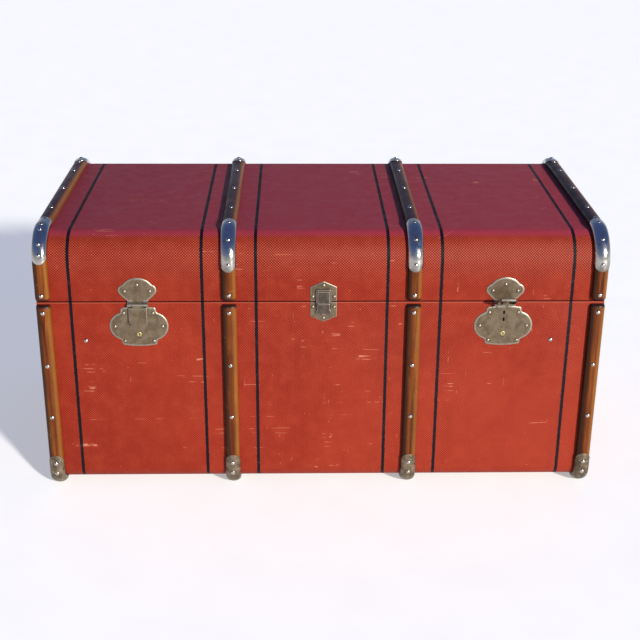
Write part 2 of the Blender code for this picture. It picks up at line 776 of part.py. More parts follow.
def tube(name, points, radius):
    """The mesh of a round bar along a line of points, its caps welded."""
    curve = bpy.data.curves.new(name, "CURVE")
    curve.dimensions = "3D"
    curve.bevel_depth = radius
    curve.bevel_resolution = 2
    curve.use_fill_caps = True
    spline = curve.splines.new("POLY")
    spline.points.add(len(points) - 1)
    for target, point in zip(spline.points, points):
        target.co = (*point, 1)
    guide = bpy.data.objects.new(name, curve)
    bpy.context.scene.collection.objects.link(guide)
    bpy.context.view_layer.update()
    mesh = bpy.data.meshes.new_from_object(
        guide.evaluated_get(bpy.context.evaluated_depsgraph_get())
    )
    bpy.data.objects.remove(guide)
    shape = bmesh.new()
    shape.from_mesh(mesh)
    bmesh.ops.remove_doubles(shape, verts=shape.verts, dist=GAP / 10)
    bmesh.ops.recalc_face_normals(shape, faces=shape.faces)
    return shape


def make_handle(side_name, side):
    """A bracket with two studs on the end wall, and a leather grip that hangs from them."""
    half = HANDLE_SPAN / 2
    arm = 7 * MM
    bracket = piece(
        f"handle_bracket_{side_name}",
        end_box(
            side,
            (-half - 18 * MM, half + 18 * MM),
            (HANDLE_Z - 12 * MM, HANDLE_Z + 12 * MM),
            (PLATE_BACK, PLATE_FACE),
        ),
        nickel,
    )
    for end in (-1, 1):
        post = sorted((end * (half + arm), end * (half + arm + 5 * MM)))
        height = (HANDLE_Z - 4 * MM, HANDLE_Z + 4 * MM)
        join(bracket, end_box(side, post, height, (0.8 * MM, HANDLE_PROUD + 3.5 * MM)))
        stud = [
            end_wall(side, end * y, HANDLE_Z, HANDLE_PROUD)
            for y in (half - 4.5 * MM, half + arm + 2 * MM)
        ]
        join(bracket, rod(stud[0], stud[1], 2.4 * MM))
    bend = half - HANDLE_CORNER
    low = HANDLE_Z - HANDLE_DROP
    corner = arc((bend, low + HANDLE_CORNER), HANDLE_CORNER, 0, -90, 5)
    right = [(half, HANDLE_Z)] + corner
    route = right + [(-y, z) for y, z in reversed(right)]
    line = [end_wall(side, y, z, HANDLE_PROUD) for y, z in route]
    pivot = end_wall(side, 0, HANDLE_Z, HANDLE_PROUD)
    name = f"handle_grip_{side_name}"
    grip = piece(name, tube(name, line, HANDLE_RADIUS), brown_leather, pivot)
    for end in (-1, 1):
        eye = [
            end_wall(side, end * (half + reach), HANDLE_Z, HANDLE_PROUD)
            for reach in (-4 * MM, 4 * MM)
        ]
        join(grip, rod(eye[0], eye[1], 7 * MM))
    beyond = half + 20 * MM
    hole = [end_wall(side, y, HANDLE_Z, HANDLE_PROUD) for y in (-beyond, beyond)]
    cut(grip, rod(hole[0], hole[1], 2.4 * MM + PIN_PLAY))


def make_tray_rests():
    """Small wooden blocks inside, behind the studs on the front, that would carry a tray."""
    half_x, height, depth = 20 * MM, 18 * MM, 12 * MM
    top = SEAM_Z - 62 * MM
    inner = FRONT - LINING_DEPTH - GAP
    for side_name, side in SIDES.items():
        for end, facing in (("front", -1), ("rear", 1)):
            x = side * 392 * MM
            y = sorted((facing * inner, facing * (inner - depth)))
            shape = box((x - half_x, y[0], top - height), (x + half_x, y[1], top))
            piece(f"tray_rest_{end}_{side_name}", shape, varnished_wood)


def set_back():
    """Moves the whole trunk back to its place over the origin."""
    frame = bpy.data.objects.new("trunk_frame", None)
    frame.location.y = BODY_SETBACK
    bpy.data.collections["steamer_trunk"].objects.link(frame)
    for obj in bpy.data.collections["steamer_trunk"].objects:
        if obj is not frame:
            obj.parent = frame


def main():
    clear_scene()
    make_base_body()
    make_lid_body()
    make_lip()
    make_slats()
    make_caps()
    make_latch_plates()
    make_latch_lever()
    make_latch_hook()
    make_tray_rests()
    for side_name, side in SIDES.items():
        make_lock(side_name, side)
        make_hasp(side_name, side)
        make_hinge(side_name, side)
        make_handle(side_name, side)
    set_back()


main()
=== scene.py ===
"""The looks of a travel trunk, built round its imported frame: painted canvas over a box and lid,
bent slats, caps, nails, two locks with hasps, a draw latch, hinges and end handles.

Metres, +Z up, front towards -Y. A place on the canvas is given as an arc length from the seam,
round the front, the bend and the flat, and a place out from it as how proud it stands.
"""

import json
import math

import bmesh
import bpy
from mathutils import Matrix, Vector


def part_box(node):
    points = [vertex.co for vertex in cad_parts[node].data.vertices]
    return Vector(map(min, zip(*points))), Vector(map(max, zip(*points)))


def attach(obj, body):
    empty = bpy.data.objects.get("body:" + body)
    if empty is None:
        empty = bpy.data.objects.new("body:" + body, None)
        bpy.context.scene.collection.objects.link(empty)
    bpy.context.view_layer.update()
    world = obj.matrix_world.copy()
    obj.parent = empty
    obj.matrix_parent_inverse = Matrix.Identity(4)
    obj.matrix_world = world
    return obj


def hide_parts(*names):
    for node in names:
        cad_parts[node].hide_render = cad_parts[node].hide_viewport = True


MM = 0.001
GAP = 0.3 * MM

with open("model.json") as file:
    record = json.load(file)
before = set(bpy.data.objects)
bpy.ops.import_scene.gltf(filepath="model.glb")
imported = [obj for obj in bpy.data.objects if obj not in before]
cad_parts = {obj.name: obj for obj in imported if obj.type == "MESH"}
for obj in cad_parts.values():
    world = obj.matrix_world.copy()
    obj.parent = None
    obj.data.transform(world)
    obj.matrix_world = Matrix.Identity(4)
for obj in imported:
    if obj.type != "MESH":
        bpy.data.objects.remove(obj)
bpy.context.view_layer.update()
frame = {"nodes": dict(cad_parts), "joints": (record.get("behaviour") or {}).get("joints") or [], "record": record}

base_low, base_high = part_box("base_shell")
lid_low, lid_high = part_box("lid_shell")
FRONT_Y, BACK_Y = base_low.y, base_high.y
MIDDLE_Y = (FRONT_Y + BACK_Y) / 2
HALF_DEPTH = (BACK_Y - FRONT_Y) / 2
HALF_WIDTH = base_high.x
BOTTOM_Z, TOP_Z = base_low.z, lid_high.z
SEAM_Z = (base_high.z + lid_low.z) / 2

TOP_RADIUS = 48 * MM
BOTTOM_RADIUS = 25 * MM
WALL = 8 * MM
SLAT_PITCH = 311 * MM
SLAT_HALF_WIDTH = 12 * MM
SLAT_SIDE = 4.2 * MM
SLAT_CROWN = 7 * MM
SLAT_RISE = SLAT_SIDE + SLAT_CROWN
SLAT_SEAM_GAP = 4.5 * MM
CAP_STAND = 1.1 * MM
CAP_SHEET = 0.8 * MM
CAP_SLIP = 13 * MM
SLIPPED_CAP = "lid_cap_front_outer_left"
STRIPES = (110.5 * MM, 200.5 * MM, 421.5 * MM)
LOCK_X = 308.8 * MM
LATCH_X = 3 * MM
LOCK_RISE = -44.3 * MM
SIDES = {"left": -1, "right": 1}
SLATS = {
    "outer_left": -1.5 * SLAT_PITCH,
    "inner_left": -0.5 * SLAT_PITCH,
    "inner_right": 0.5 * SLAT_PITCH,
    "outer_right": 1.5 * SLAT_PITCH,
}


# ---------------------------------------------------------------- materials


class Finish:
    """A node material being put together, with a method for each kind of node it uses."""

    def __init__(self, name, **constants):
        self.material = bpy.data.materials.new(name)
        self.material.use_nodes = True
        self.nodes = self.material.node_tree.nodes
        self.links = self.material.node_tree.links
        self.shader = self.nodes["Principled BSDF"]
        for socket, value in constants.items():
            self.shader.inputs[socket.replace("_", " ")].default_value = value

    def node(self, kind, inputs, output=0, **settings):
        made = self.nodes.new("ShaderNode" + kind)
        for key, value in settings.items():
            setattr(made, key, value)
        for socket, value in inputs.items():
            self.feed(made.inputs[socket], value)
        return made.outputs[output]

    def feed(self, socket, value):
        if isinstance(value, bpy.types.NodeSocket):
            self.links.new(value, socket)
        else:
            socket.default_value = value

    def set(self, **values):
        for socket, value in values.items():
            self.feed(self.shader.inputs[socket.replace("_", " ")], value)

    def place(self, scale=(1, 1, 1), shift=(0, 0, 0), uv=False):
        """Where a point of the surface is, in metres, times a scale."""
        if uv:
            source = self.node("UVMap", {}, uv_map="UVMap")
        else:
            source = self.node("TexCoord", {}, "Object")
        return self.node("Mapping", {"Vector": source, "Scale": scale, "Location": shift})

    def part(self, vector, axis):
        return self.node("SeparateXYZ", {0: vector}, axis)

    def math(self, operation, a, b=0.0, c=0.0):
        return self.node("Math", {0: a, 1: b, 2: c}, operation=operation)

    def times(self, a, b, plus=None):
        if plus is None:
            return self.math("MULTIPLY", a, b)
        return self.math("MULTIPLY_ADD", a, b, plus)

    def apart(self, a, b):
        return self.math("ABSOLUTE", self.math("SUBTRACT", a, b))

    def noise(self, vector, scale, detail=4.0, roughness=0.6, distortion=0.0):
        inputs = {"Vector": vector, "Scale": scale, "Detail": detail}
        inputs.update({"Roughness": roughness, "Distortion": distortion})
        return self.node("TexNoise", inputs)

    def cells(self, vector, scale):
        return self.node("TexVoronoi", {"Vector": vector, "Scale": scale}, "Distance")

    def fade(self, value, start, end, low=0.0, high=1.0):
        """Goes smoothly from low to high as the value goes from start to end."""
        inputs = {0: value, 1: start, 2: end, 3: low, 4: high}
        return self.node("MapRange", inputs, interpolation_type="SMOOTHSTEP")

    def mix(self, factor, a, b):
        inputs = {0: factor, 6: rgba(a), 7: rgba(b)}
        return self.node("Mix", inputs, 2, data_type="RGBA")

    def ramp(self, value, *stops):
        made = self.nodes.new("ShaderNodeValToRGB")
        self.feed(made.inputs[0], value)
        elements = made.color_ramp.elements
        while len(elements) < len(stops):
            elements.new(0.5)
        for element, (position, color) in zip(elements, stops):
            element.position = position
            element.color = rgba(color)
        return made.outputs[0]

    def bump(self, height, distance, normal=None, strength=1.0):
        inputs = {"Height": height, "Distance": distance, "Strength": strength}
        if normal is not None:
            inputs["Normal"] = normal
        return self.node("Bump", inputs)


def rgba(color):
    if isinstance(color, bpy.types.NodeSocket):
        return color
    return (*color, 1.0)


def scratches(finish, scale, stretch, width, keep, shift=(0, 0, 0)):
    """Fine lines along one axis: a thin band of a stretched noise, broken up by another."""
    lines = finish.noise(finish.place(stretch, shift), scale, 2.0, 0.5)
    near = finish.apart(lines, 0.5)
    thin = finish.fade(near, 0.0, width, 1.0, 0.0)
    broken = finish.noise(finish.place((1, 1, 1), shift), scale * 0.8, 3.0, 0.6)
    return finish.times(thin, finish.fade(broken, keep, keep + 0.06))


def specks(finish, cells, pick, size, keep):
    """Small round marks at the middles of some cells, picked by a slower noise."""
    dots = finish.fade(finish.cells(*cells), *size, 1.0, 0.0)
    return finish.times(dots, finish.fade(finish.noise(*pick, 1.0), *keep))


def painted_canvas():
    made = Finish("painted_canvas", Specular_IOR_Level=0.1)
    weave_at = made.place(uv=True)
    wobble = made.noise(made.place(), 60.0, 2.0)
    thread = math.pi / (2.3 * MM)
    threads = []
    for axis in (0, 1):
        along = made.times(made.part(weave_at, axis), thread, wobble)
        threads.append(made.math("SINE", along))
    weave = made.times(made.times(*threads), 0.5, 0.5)

    place = made.place()
    cloud = made.noise(place, 3.2, 6.0, 0.62)
    mottle = made.noise(place, 42.0, 5.0, 0.7)
    streaks = made.noise(made.place((38, 38, 4)), 1.0, 4.0, 0.6)
    color = made.mix(made.fade(cloud, 0.36, 0.66), (0.155, 0.0085, 0.0022), (0.195, 0.0150, 0.0048))
    color = made.mix(made.fade(mottle, 0.35, 0.75, 0.0, 0.55), color, (0.225, 0.024, 0.0085))
    color = made.mix(made.fade(streaks, 0.52, 0.78, 0.0, 0.35), color, (0.120, 0.007, 0.002))
    # painted light on the weave: a painted glint on the thread tops and a painted shade in the gaps, strongest at
    # the bend
    from_bend = made.apart(made.part(place, 2), TOP_Z - 30 * MM)
    bend_weave_light_and_shade = made.fade(from_bend, 6 * MM, 60 * MM, 0.8, 0.26)
    painted_thread_shade = made.times(made.fade(weave, 0.1, 0.5, 0.9, 0.0), bend_weave_light_and_shade)
    color = made.mix(painted_thread_shade, color, (0.055, 0.002, 0.001))
    painted_thread_glint = made.times(made.fade(weave, 0.6, 0.95, 0.0, 0.7), bend_weave_light_and_shade)
    color = made.mix(painted_thread_glint, color, (0.42, 0.13, 0.08))

    # a painted reflection of the sky: the top of the lid tinted purple
    painted_sky_on_top = made.fade(made.part(place, 2), TOP_Z - 9 * MM, TOP_Z - 2.5 * MM, 0.0, 0.8)
    color = made.mix(painted_sky_on_top, color, made.mix(weave, (0.175, 0.013, 0.027), (0.290, 0.036, 0.060)))

    # rubbed high points, flecks and scratches, which show the pale ground of the cloth
    rubbed = made.noise(place, 9.0, 7.0, 0.68)
    rub = made.times(made.fade(rubbed, 0.60, 0.78, 0.0, 0.55), made.fade(weave, 0.55, 0.95))
    flecks = specks(made, (place, 150.0), (place, 75.0), (0.05, 0.16), (0.66, 0.70))
    lines = scratches(made, 26.0, (0.035, 1, 1), 0.008, 0.585)
    steep = scratches(made, 22.0, (1, 1, 0.04), 0.006, 0.61, (3.1, 0.4, 1.7))
    wear_and_rim_highlight = rub
    for more in (flecks, lines, steep):
        wear_and_rim_highlight = made.math("MAXIMUM", wear_and_rim_highlight, more)
    above = made.math("SUBTRACT", made.part(place, 2), SEAM_Z)
    # a painted highlight along the box's rim just below the seam, mixed in with the wear
    rim = made.times(mottle, 1.2 * MM, made.apart(above, -2.1 * MM))
    wear_and_rim_highlight = made.math("MAXIMUM", wear_and_rim_highlight, made.fade(rim, 0.7 * MM, 1.6 * MM, 0.35, 0.0))
    color = made.mix(made.times(wear_and_rim_highlight, 0.75), color, (0.44, 0.17, 0.10))
    here, there = (made.place(shift=(x, 0.3, 0.2)) for x in (0.7, 2.7))
    stained = specks(made, (here, 95.0), (there, 50.0), (0.04, 0.13), (0.66, 0.71))
    color = made.mix(made.times(stained, 0.75), color, (0.045, 0.006, 0.006))
    # a painted shade along the seam, where the gap between lid and box lies in shade
    joint = made.apart(above, 0.2 * MM)
    color = made.mix(made.fade(joint, 0.8 * MM, 1.6 * MM, 0.85, 0.0), color, (0.030, 0.002, 0.0015))

    # pinstripes along the panels, rubbed through on the high threads
    across = made.math("ABSOLUTE", made.part(place, 0))
    nearest = None
    for stripe in STRIPES:
        off = made.apart(across, stripe)
        nearest = off if nearest is None else made.math("MINIMUM", nearest, off)
    ragged = made.noise(place, 260.0, 3.0, 0.7)
    off = made.times(made.math("SUBTRACT", ragged, 0.5), 2.6 * MM, nearest)
    stripe = made.fade(off, 2.4 * MM, 3.0 * MM, 1.0, 0.0)
    bare = made.fade(made.noise(place, 30.0, 6.0, 0.7), 0.56, 0.70)
    rubbed_off = made.times(bare, made.fade(weave, 0.5, 0.9))
    ink = made.mix(made.times(rubbed_off, 0.55), (0.0035, 0.003, 0.0055), (0.13, 0.075, 0.065))
    color = made.mix(stripe, color, ink)

    rough = made.times(wear_and_rim_highlight, 0.16, made.fade(mottle, 0.3, 0.7, 0.42, 0.55))
    normal = made.bump(made.noise(place, 14.0, 3.0), 1.4 * MM)
    normal = made.bump(mottle, 0.25 * MM, normal)
    normal = made.bump(weave, 0.5 * MM, normal)
    made.set(Base_Color=color, Roughness=rough, Normal=normal)
    return made.material


def varnished_wood(name, warm=1.0, flank=True):
    """Wood with its grain along U; V runs across from the middle of the crown."""
    made = Finish(name, Coat_Weight=0.06, Coat_Roughness=0.2, Specular_IOR_Level=0.12)
    grain_at = made.place((5.0, 130.0, 1.0), uv=True)
    swirl = made.noise(made.place((2.2, 2.2, 2.2)), 3.0, 2.0)
    shifted = made.node("VectorMath", {0: grain_at, 1: swirl}, operation="ADD")
    grain = made.noise(shifted, 1.0, 8.0, 0.66, 0.5)
    pores = made.noise(made.place((26.0, 900.0, 1.0), uv=True), 1.0, 3.0, 0.7)
    tone = made.noise(made.place((4, 4, 4)), 3.4, 4.0, 0.6)
    color = made.ramp(
        grain,
        (0.34, (0.020 * warm, 0.0035 * warm, 0.0008)),
        (0.45, (0.062 * warm, 0.012 * warm, 0.0012)),
        (0.56, (0.112 * warm, 0.027 * warm, 0.0022)),
        (0.68, (0.175 * warm, 0.056 * warm, 0.006)),
    )
    color = made.mix(made.fade(tone, 0.42, 0.68, 0.0, 0.55), color, (0.070, 0.015, 0.0025))
    color = made.mix(made.fade(pores, 0.58, 0.72, 0.0, 0.6), color, (0.016, 0.003, 0.001))
    place = made.place()
    rub = made.noise(place, 34.0, 6.0, 0.7)
    # painted light on the slats: a painted shade down the left side and a painted highlight down the right side
    if flank:
        across = made.times(rub, 4 * MM, made.part(made.place(uv=True), 1))
        shade = made.fade(across, -7 * MM, 1.5 * MM, 0.85, 0.0)
        color = made.mix(shade, color, (0.020, 0.006, 0.002))
        lit = made.fade(across, 5 * MM, 11 * MM, 0.0, 0.5)
        color = made.mix(lit, color, (0.20, 0.078, 0.012))
        # a painted reflection of the sky: the tops of the slats darkened to a purplish navy, less on the lit side
        on_top = made.fade(made.part(place, 2), TOP_Z - 24 * MM, TOP_Z + 4 * MM, 0.0, 0.8)
        on_top = made.times(on_top, made.fade(across, 6 * MM, 11 * MM, 1.0, 0.25))
        color = made.mix(on_top, color, (0.018, 0.010, 0.016))
        end = made.apart(made.part(place, 2), SEAM_Z)
        end = made.times(rub, 5 * MM, end)
        dark_end = made.fade(end, 8.5 * MM, 13 * MM, 0.92, 0.0)
        color = made.mix(dark_end, color, (0.012, 0.006, 0.007))
    chips = scratches(made, 60.0, (1, 1, 0.5), 0.012, 0.60)
    color = made.mix(made.times(chips, 0.4), color, (0.30, 0.17, 0.07))
    made.set(
        Base_Color=color,
        Roughness=made.fade(rub, 0.35, 0.7, 0.32, 0.52),
        Normal=made.bump(pores, 0.12 * MM, made.bump(grain, 0.35 * MM)),
    )
    return made.material


def worn_metal(name, bright, dull, roughness, patina, scale=60.0, bump=0.12, metal=1.0, foot=0.0):
    """Plated metal: bright where it is rubbed, with a patina in clouds, and fine scratches."""
    made = Finish(name, Metallic=metal)
    place = made.place()
    clouds = made.noise(place, scale, 7.0, 0.68, 0.4)
    grit = made.noise(place, scale * 9, 4.0, 0.75)
    color = made.mix(made.fade(clouds, *patina), bright, dull)
    color = made.mix(made.fade(grit, 0.58, 0.76, 0.0, 0.5), color, [c * 0.45 for c in dull])
    fine = scratches(made, 190.0, (1, 0.25, 0.3), 0.012, 0.50)
    across = scratches(made, 170.0, (0.22, 0.6, 1), 0.012, 0.54, (1.3, 0.2, 4.4))
    lines = made.math("MAXIMUM", fine, across)
    # darker towards the bottom, by foot: a painted reflection of darker ground on the low part, mottled by the
    # clouds
    ground_reflection_and_smudge = made.times(clouds, 60 * MM, made.part(place, 2))
    ground_reflection_and_smudge = made.fade(ground_reflection_and_smudge, SEAM_Z + 84 * MM, SEAM_Z + 112 * MM, foot, 0.0)
    color = made.mix(ground_reflection_and_smudge, color, dull)
    color = made.mix(made.times(lines, 0.5), color, [min(1, c * 1.35) for c in bright])
    rough = made.times(lines, 0.12, made.fade(clouds, 0.34, 0.68, *roughness))
    normal = made.bump(made.noise(place, scale * 1.6, 2.0), 0.5 * MM, strength=bump * 4)
    normal = made.bump(grit, 0.06 * MM, normal)
    made.set(Base_Color=color, Roughness=rough, Normal=normal)
    return made.material


def leather():
    made = Finish("brown_leather", Coat_Weight=0.12, Coat_Roughness=0.35)
    place = made.place()
    pebbles = made.cells(place, 620.0)
    folds = made.noise(place, 90.0, 5.0, 0.65)
    color = made.mix(made.fade(folds, 0.38, 0.68), (0.045, 0.018, 0.009), (0.13, 0.055, 0.022))
    rub = made.noise(place, 40.0, 5.0, 0.7)
    color = made.mix(made.fade(rub, 0.58, 0.72, 0.0, 0.6), color, (0.22, 0.11, 0.055))
    normal = made.bump(folds, 0.5 * MM)
    normal = made.bump(made.fade(pebbles, 0.0, 0.6), 0.18 * MM, normal)
    made.set(Base_Color=color, Roughness=made.fade(rub, 0.35, 0.7, 0.42, 0.6), Normal=normal)
    return made.material


def lining_cloth():
    made = Finish("lining_cloth", Sheen_Weight=0.2, Sheen_Roughness=0.6)
    place = made.place()
    threads = [made.math("SINE", made.times(made.part(place, axis), 3600.0)) for axis in range(3)]
    weave = made.math("ADD", made.math("ADD", threads[0], threads[1]), threads[2])
    age = made.noise(place, 5.0, 7.0, 0.66)
    color = made.mix(made.fade(age, 0.38, 0.68), (0.56, 0.47, 0.34), (0.40, 0.31, 0.20))
    spots = specks(made, (place, 38.0), (place, 22.0), (0.06, 0.22), (0.56, 0.64))
    color = made.mix(made.times(spots, 0.6), color, (0.24, 0.14, 0.07))
    color = made.mix(made.fade(weave, -1.0, 1.0, 0.28, 0.0), color, (0.22, 0.16, 0.10))
    made.set(Base_Color=color, Roughness=made.fade(age, 0.3, 0.7, 0.8, 0.95))
    made.set(Normal=made.bump(weave, 0.08 * MM))
    return made.material


def waxed_thread():
    made = Finish("waxed_thread")
    twist = made.noise(made.place(), 900.0, 2.0)
    made.set(
        Base_Color=made.mix(twist, (0.42, 0.33, 0.20), (0.60, 0.50, 0.34)),
        Roughness=made.fade(twist, 0.3, 0.7, 0.55, 0.7),
        Normal=made.bump(twist, 0.1 * MM),
    )
    return made.material


def plain_floor():
    made = Finish("pale_floor")
    grain = made.noise(made.place(), 9.0, 3.0)
    made.set(
        Base_Color=made.mix(made.fade(grain, 0.3, 0.7), (0.60, 0.60, 0.60), (0.62, 0.62, 0.615)),
        Roughness=made.fade(grain, 0.3, 0.7, 0.62, 0.7),
        Emission_Color=(1.0, 1.0, 1.0, 1.0),
        Emission_Strength=0.4,
    )
    return made.material


CANVAS = painted_canvas()
WOOD = varnished_wood("varnished_slat_wood")
PLAIN_WOOD = varnished_wood("varnished_plain_wood", 0.9, flank=False)
POLISHED = worn_metal(
    "polished_nickel", (0.52, 0.50, 0.47), (0.17, 0.145, 0.115), (0.09, 0.24), (0.50, 0.80),
    scale=48.0, bump=0.07, foot=0.85,
)
NAIL = worn_metal(
    "nail_nickel", (0.50, 0.47, 0.42), (0.24, 0.20, 0.15), (0.12, 0.3), (0.45, 0.7),
    scale=80.0,
)
DULL = worn_metal(
    "dull_steel", (0.20, 0.155, 0.105), (0.075, 0.052, 0.030), (0.30, 0.46), (0.36, 0.62),
    scale=95.0, bump=0.2, metal=0.7,
)
AGED = worn_metal(
    "aged_nickel", (0.125, 0.093, 0.056), (0.062, 0.042, 0.021), (0.30, 0.46), (0.36, 0.66),
    scale=70.0, metal=0.35,
)
BRIGHT = worn_metal(
    "bright_edge_nickel", (0.29, 0.255, 0.20), (0.16, 0.13, 0.09), (0.33, 0.44), (0.46, 0.8),
    scale=90.0, bump=0.06, metal=0.9,
)
BRASS = worn_metal(
    "worn_brass", (0.62, 0.50, 0.22), (0.26, 0.18, 0.07), (0.22, 0.36), (0.48, 0.72),
    scale=220.0,
)
# painted shade: a dark brown for the insides of pans and the rings under rivet heads
BROWN_SHADE = worn_metal(
    "painted_brown_shade", (0.075, 0.042, 0.020), (0.030, 0.016, 0.008), (0.5, 0.65), (0.4, 0.7),
    scale=120.0, metal=0.3,
)
# painted shade: a near-black for the depths of holes and the keyway
HOLE_SHADE = worn_metal(
    "painted_hole_shade", (0.012, 0.011, 0.010), (0.006, 0.005, 0.004), (0.55, 0.7), (0.4, 0.7),
    scale=120.0, metal=0.3,
)
STAINED = worn_metal(
    "stained_nickel", (0.070, 0.052, 0.040), (0.034, 0.024, 0.018), (0.26, 0.38), (0.36, 0.66),
    scale=90.0, metal=0.35,
)
# the third finish in each set is painted shade
PLATED = (AGED, BRIGHT, BROWN_SHADE)
FOLDED = (STAINED, BRIGHT, BROWN_SHADE)
LEATHER = leather()
CLOTH = lining_cloth()
THREAD = waxed_thread()


# ---------------------------------------------------------------- shapes

pieces = []
cutters = []


def skin(rows, us, vs, closed=False, ends=False):
    """Faces over rows of points, with UVs in metres: U from row to row, V within a row."""
    shape = bmesh.new()
    uv = shape.loops.layers.uv.verify()
    verts = [[shape.verts.new(point) for point in row] for row in rows]
    count = len(rows[0])
    for i in range(len(rows) - 1):
        for j in range(count if closed else count - 1):
            k = (j + 1) % count
            face = shape.faces.new((verts[i][j], verts[i][k], verts[i + 1][k], verts[i + 1][j]))
            corners = ((i, j), (i, j + 1), (i + 1, j + 1), (i + 1, j))
            for loop, (row, column) in zip(face.loops, corners):
                loop[uv].uv = (us[row], vs[min(column, len(vs) - 1)])
    if ends:
        for i in (0, -1):
            face = shape.faces.new(verts[i])
            for loop, v in zip(face.loops, vs):
                loop[uv].uv = (us[i], v)
    return shape


def standing(name, data):
    """A new object in the scene."""
    made = bpy.data.objects.new(name, data)
    bpy.context.scene.collection.objects.link(made)
    return made


def meshed(name, shape):
    mesh = bpy.data.meshes.new(name)
    shape.to_mesh(mesh)
    shape.free()
    return mesh


def add(name, shape, body, finish, slot, *nodes):
    """A piece from a bmesh: it rides on a body and replaces CAD nodes. The slot argument is not used."""
    bmesh.ops.recalc_face_normals(shape, faces=shape.faces)
    mesh = meshed(name, shape)
    for layer in mesh.uv_layers:
        layer.name = "UVMap"
    for material in finish if isinstance(finish, (list, tuple)) else [finish]:
        mesh.materials.append(material)
    made = standing(name, mesh)
    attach(made, body)
    if nodes:
        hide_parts(*nodes)
    pieces.append(made)
    return made


def thicken(obj, thickness):
    wall = obj.modifiers.new("thickness", "SOLIDIFY")
    wall.thickness = thickness
    wall.offset = -1
    wall.use_even_offset = True


def soften(obj, width, segments=3):
    edge = obj.modifiers.new("edges", "BEVEL")
    edge.width = width
    edge.segments = segments
    edge.limit_method = "ANGLE"
    edge.angle_limit = math.radians(40)


def settle():
    """Applies every modifier, once all the pieces are there, and shades by angle."""
    graph = bpy.context.evaluated_depsgraph_get()
    graph.update()
    for obj in pieces:
        mesh = bpy.data.meshes.new_from_object(
            obj.evaluated_get(graph), preserve_all_data_layers=True, depsgraph=graph
        )
        obj.modifiers.clear()
        obj.data = mesh
        mesh.shade_smooth()
        mesh.set_sharp_from_angle(angle=math.radians(36))
    for obj in cutters:
        bpy.data.objects.remove(obj)


class Wrap:
    """The line over the canvas from the seam in front to the seam at the back."""

    def __init__(self, in_lid):
        self.up = 1 if in_lid else -1
        self.radius = TOP_RADIUS if in_lid else BOTTOM_RADIUS
        self.closed_z = TOP_Z if in_lid else BOTTOM_Z
        self.straight = abs(self.closed_z - SEAM_Z) - self.radius
        self.bend = self.radius * math.pi / 2
        self.length = 2 * (self.straight + self.bend + HALF_DEPTH - self.radius)

    def at(self, x, s, proud=0.0):
        """The point at an arc length, and the way out from the canvas there."""
        if s > self.length / 2:
            point, out = self.at(x, self.length - s, proud)
            return Vector((x, 2 * MIDDLE_Y - point.y, point.z)), Vector((0, -out.y, out.z))
        angle = min(max((s - self.straight) / self.radius, 0.0), math.pi / 2)
        out = Vector((0, -math.cos(angle), self.up * math.sin(angle)))
        y = FRONT_Y + self.radius
        z = self.closed_z - self.up * self.radius
        point = Vector((x, y, z)) + out * (self.radius + proud)
        point.y += max(s - self.straight - self.bend, 0.0)
        point.z -= self.up * max(self.straight - s, 0.0)
        return point, out

    def stations(self, start, end, steps=20):
        """Arc lengths from start to end, close together in the bends."""
        marks = [start, end]
        for i in range(steps + 1):
            turn = self.straight + self.bend * i / steps
            marks += [turn, self.length - turn]
        return sorted(mark for mark in set(marks) if start <= mark <= end)


WRAPS = {"lid": Wrap(True), "base": Wrap(False)}


def box(low, high):
    low, high = Vector(low), Vector(high)
    shape = bmesh.new()
    size = Matrix.Diagonal((*(high - low), 1))
    bmesh.ops.create_cube(shape, size=1, matrix=Matrix.Translation((low + high) / 2) @ size)
    return shape


def cut_with(obj, shape):
    """Cuts a shape away from a piece."""
    bmesh.ops.recalc_face_normals(shape, faces=shape.faces)
    cutter = standing("cutter", meshed("cutter", shape))
    cutter.hide_render = True
    cutters.append(cutter)
    boolean = obj.modifiers.new("cut", "BOOLEAN")
    boolean.operation = "DIFFERENCE"
    boolean.object = cutter
    boolean.solver = "EXACT"
    boolean.use_self = True


def merged(*shapes):
    """One bmesh from several."""
    whole = bmesh.new()
    for shape in shapes:
        mesh = meshed("part", shape)
        whole.from_mesh(mesh)
        bpy.data.meshes.remove(mesh)
    return whole


def make_canvas():
    """The box and the lid: cloth glued over 8 mm walls, with a rounded rim at the seam."""
    for body, wrap in WRAPS.items():
        stations = wrap.stations(GAP, wrap.length - GAP)
        rows = []
        for s in stations:
            rows.append([wrap.at(x, s)[0] for x in (-HALF_WIDTH, 0, HALF_WIDTH)])
        shape = skin(rows, stations, (-HALF_WIDTH, 0, HALF_WIDTH))
        bmesh.ops.remove_doubles(shape, verts=shape.verts, dist=GAP / 10)
        uv = shape.loops.layers.uv.verify()
        shape.verts.ensure_lookup_table()
        for side in SIDES.values():
            rim = [v for v in shape.verts if abs(v.co.x - side * HALF_WIDTH) < GAP]
            face = shape.faces.new(rim)
            for loop in face.loops:
                loop[uv].uv = (loop.vert.co.y, loop.vert.co.z)
        made = add(f"{body}_canvas", shape, body, CANVAS, "painted_canvas", f"{body}_shell")
        thicken(made, WALL)
        soften(made, 1.1 * MM)
        if body == "base":
            play = Vector((GAP, 2 * MM, GAP))
            for side_name in SIDES:
                low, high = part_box(f"lock_case_{side_name}")
                cut_with(made, box(low - play, high + play))


def crown_profile(half, side_low, side_high, crown, steps=18):
    """Across a slat: up one side, over a half-round crown, and down the other side."""
    points = [(-half, side_low)]
    for i in range(steps + 1):
        turn = math.pi * (1 - i / steps)
        points.append((half * math.cos(turn), side_high + crown * math.sin(turn)))
    points.append((half, side_low))
    return points


def arc_lengths(points):
    lengths = [0.0]
    for (a0, h0), (a1, h1) in zip(points, points[1:]):
        lengths.append(lengths[-1] + math.hypot(a1 - a0, h1 - h0))
    return [length - lengths[-1] / 2 for length in lengths]


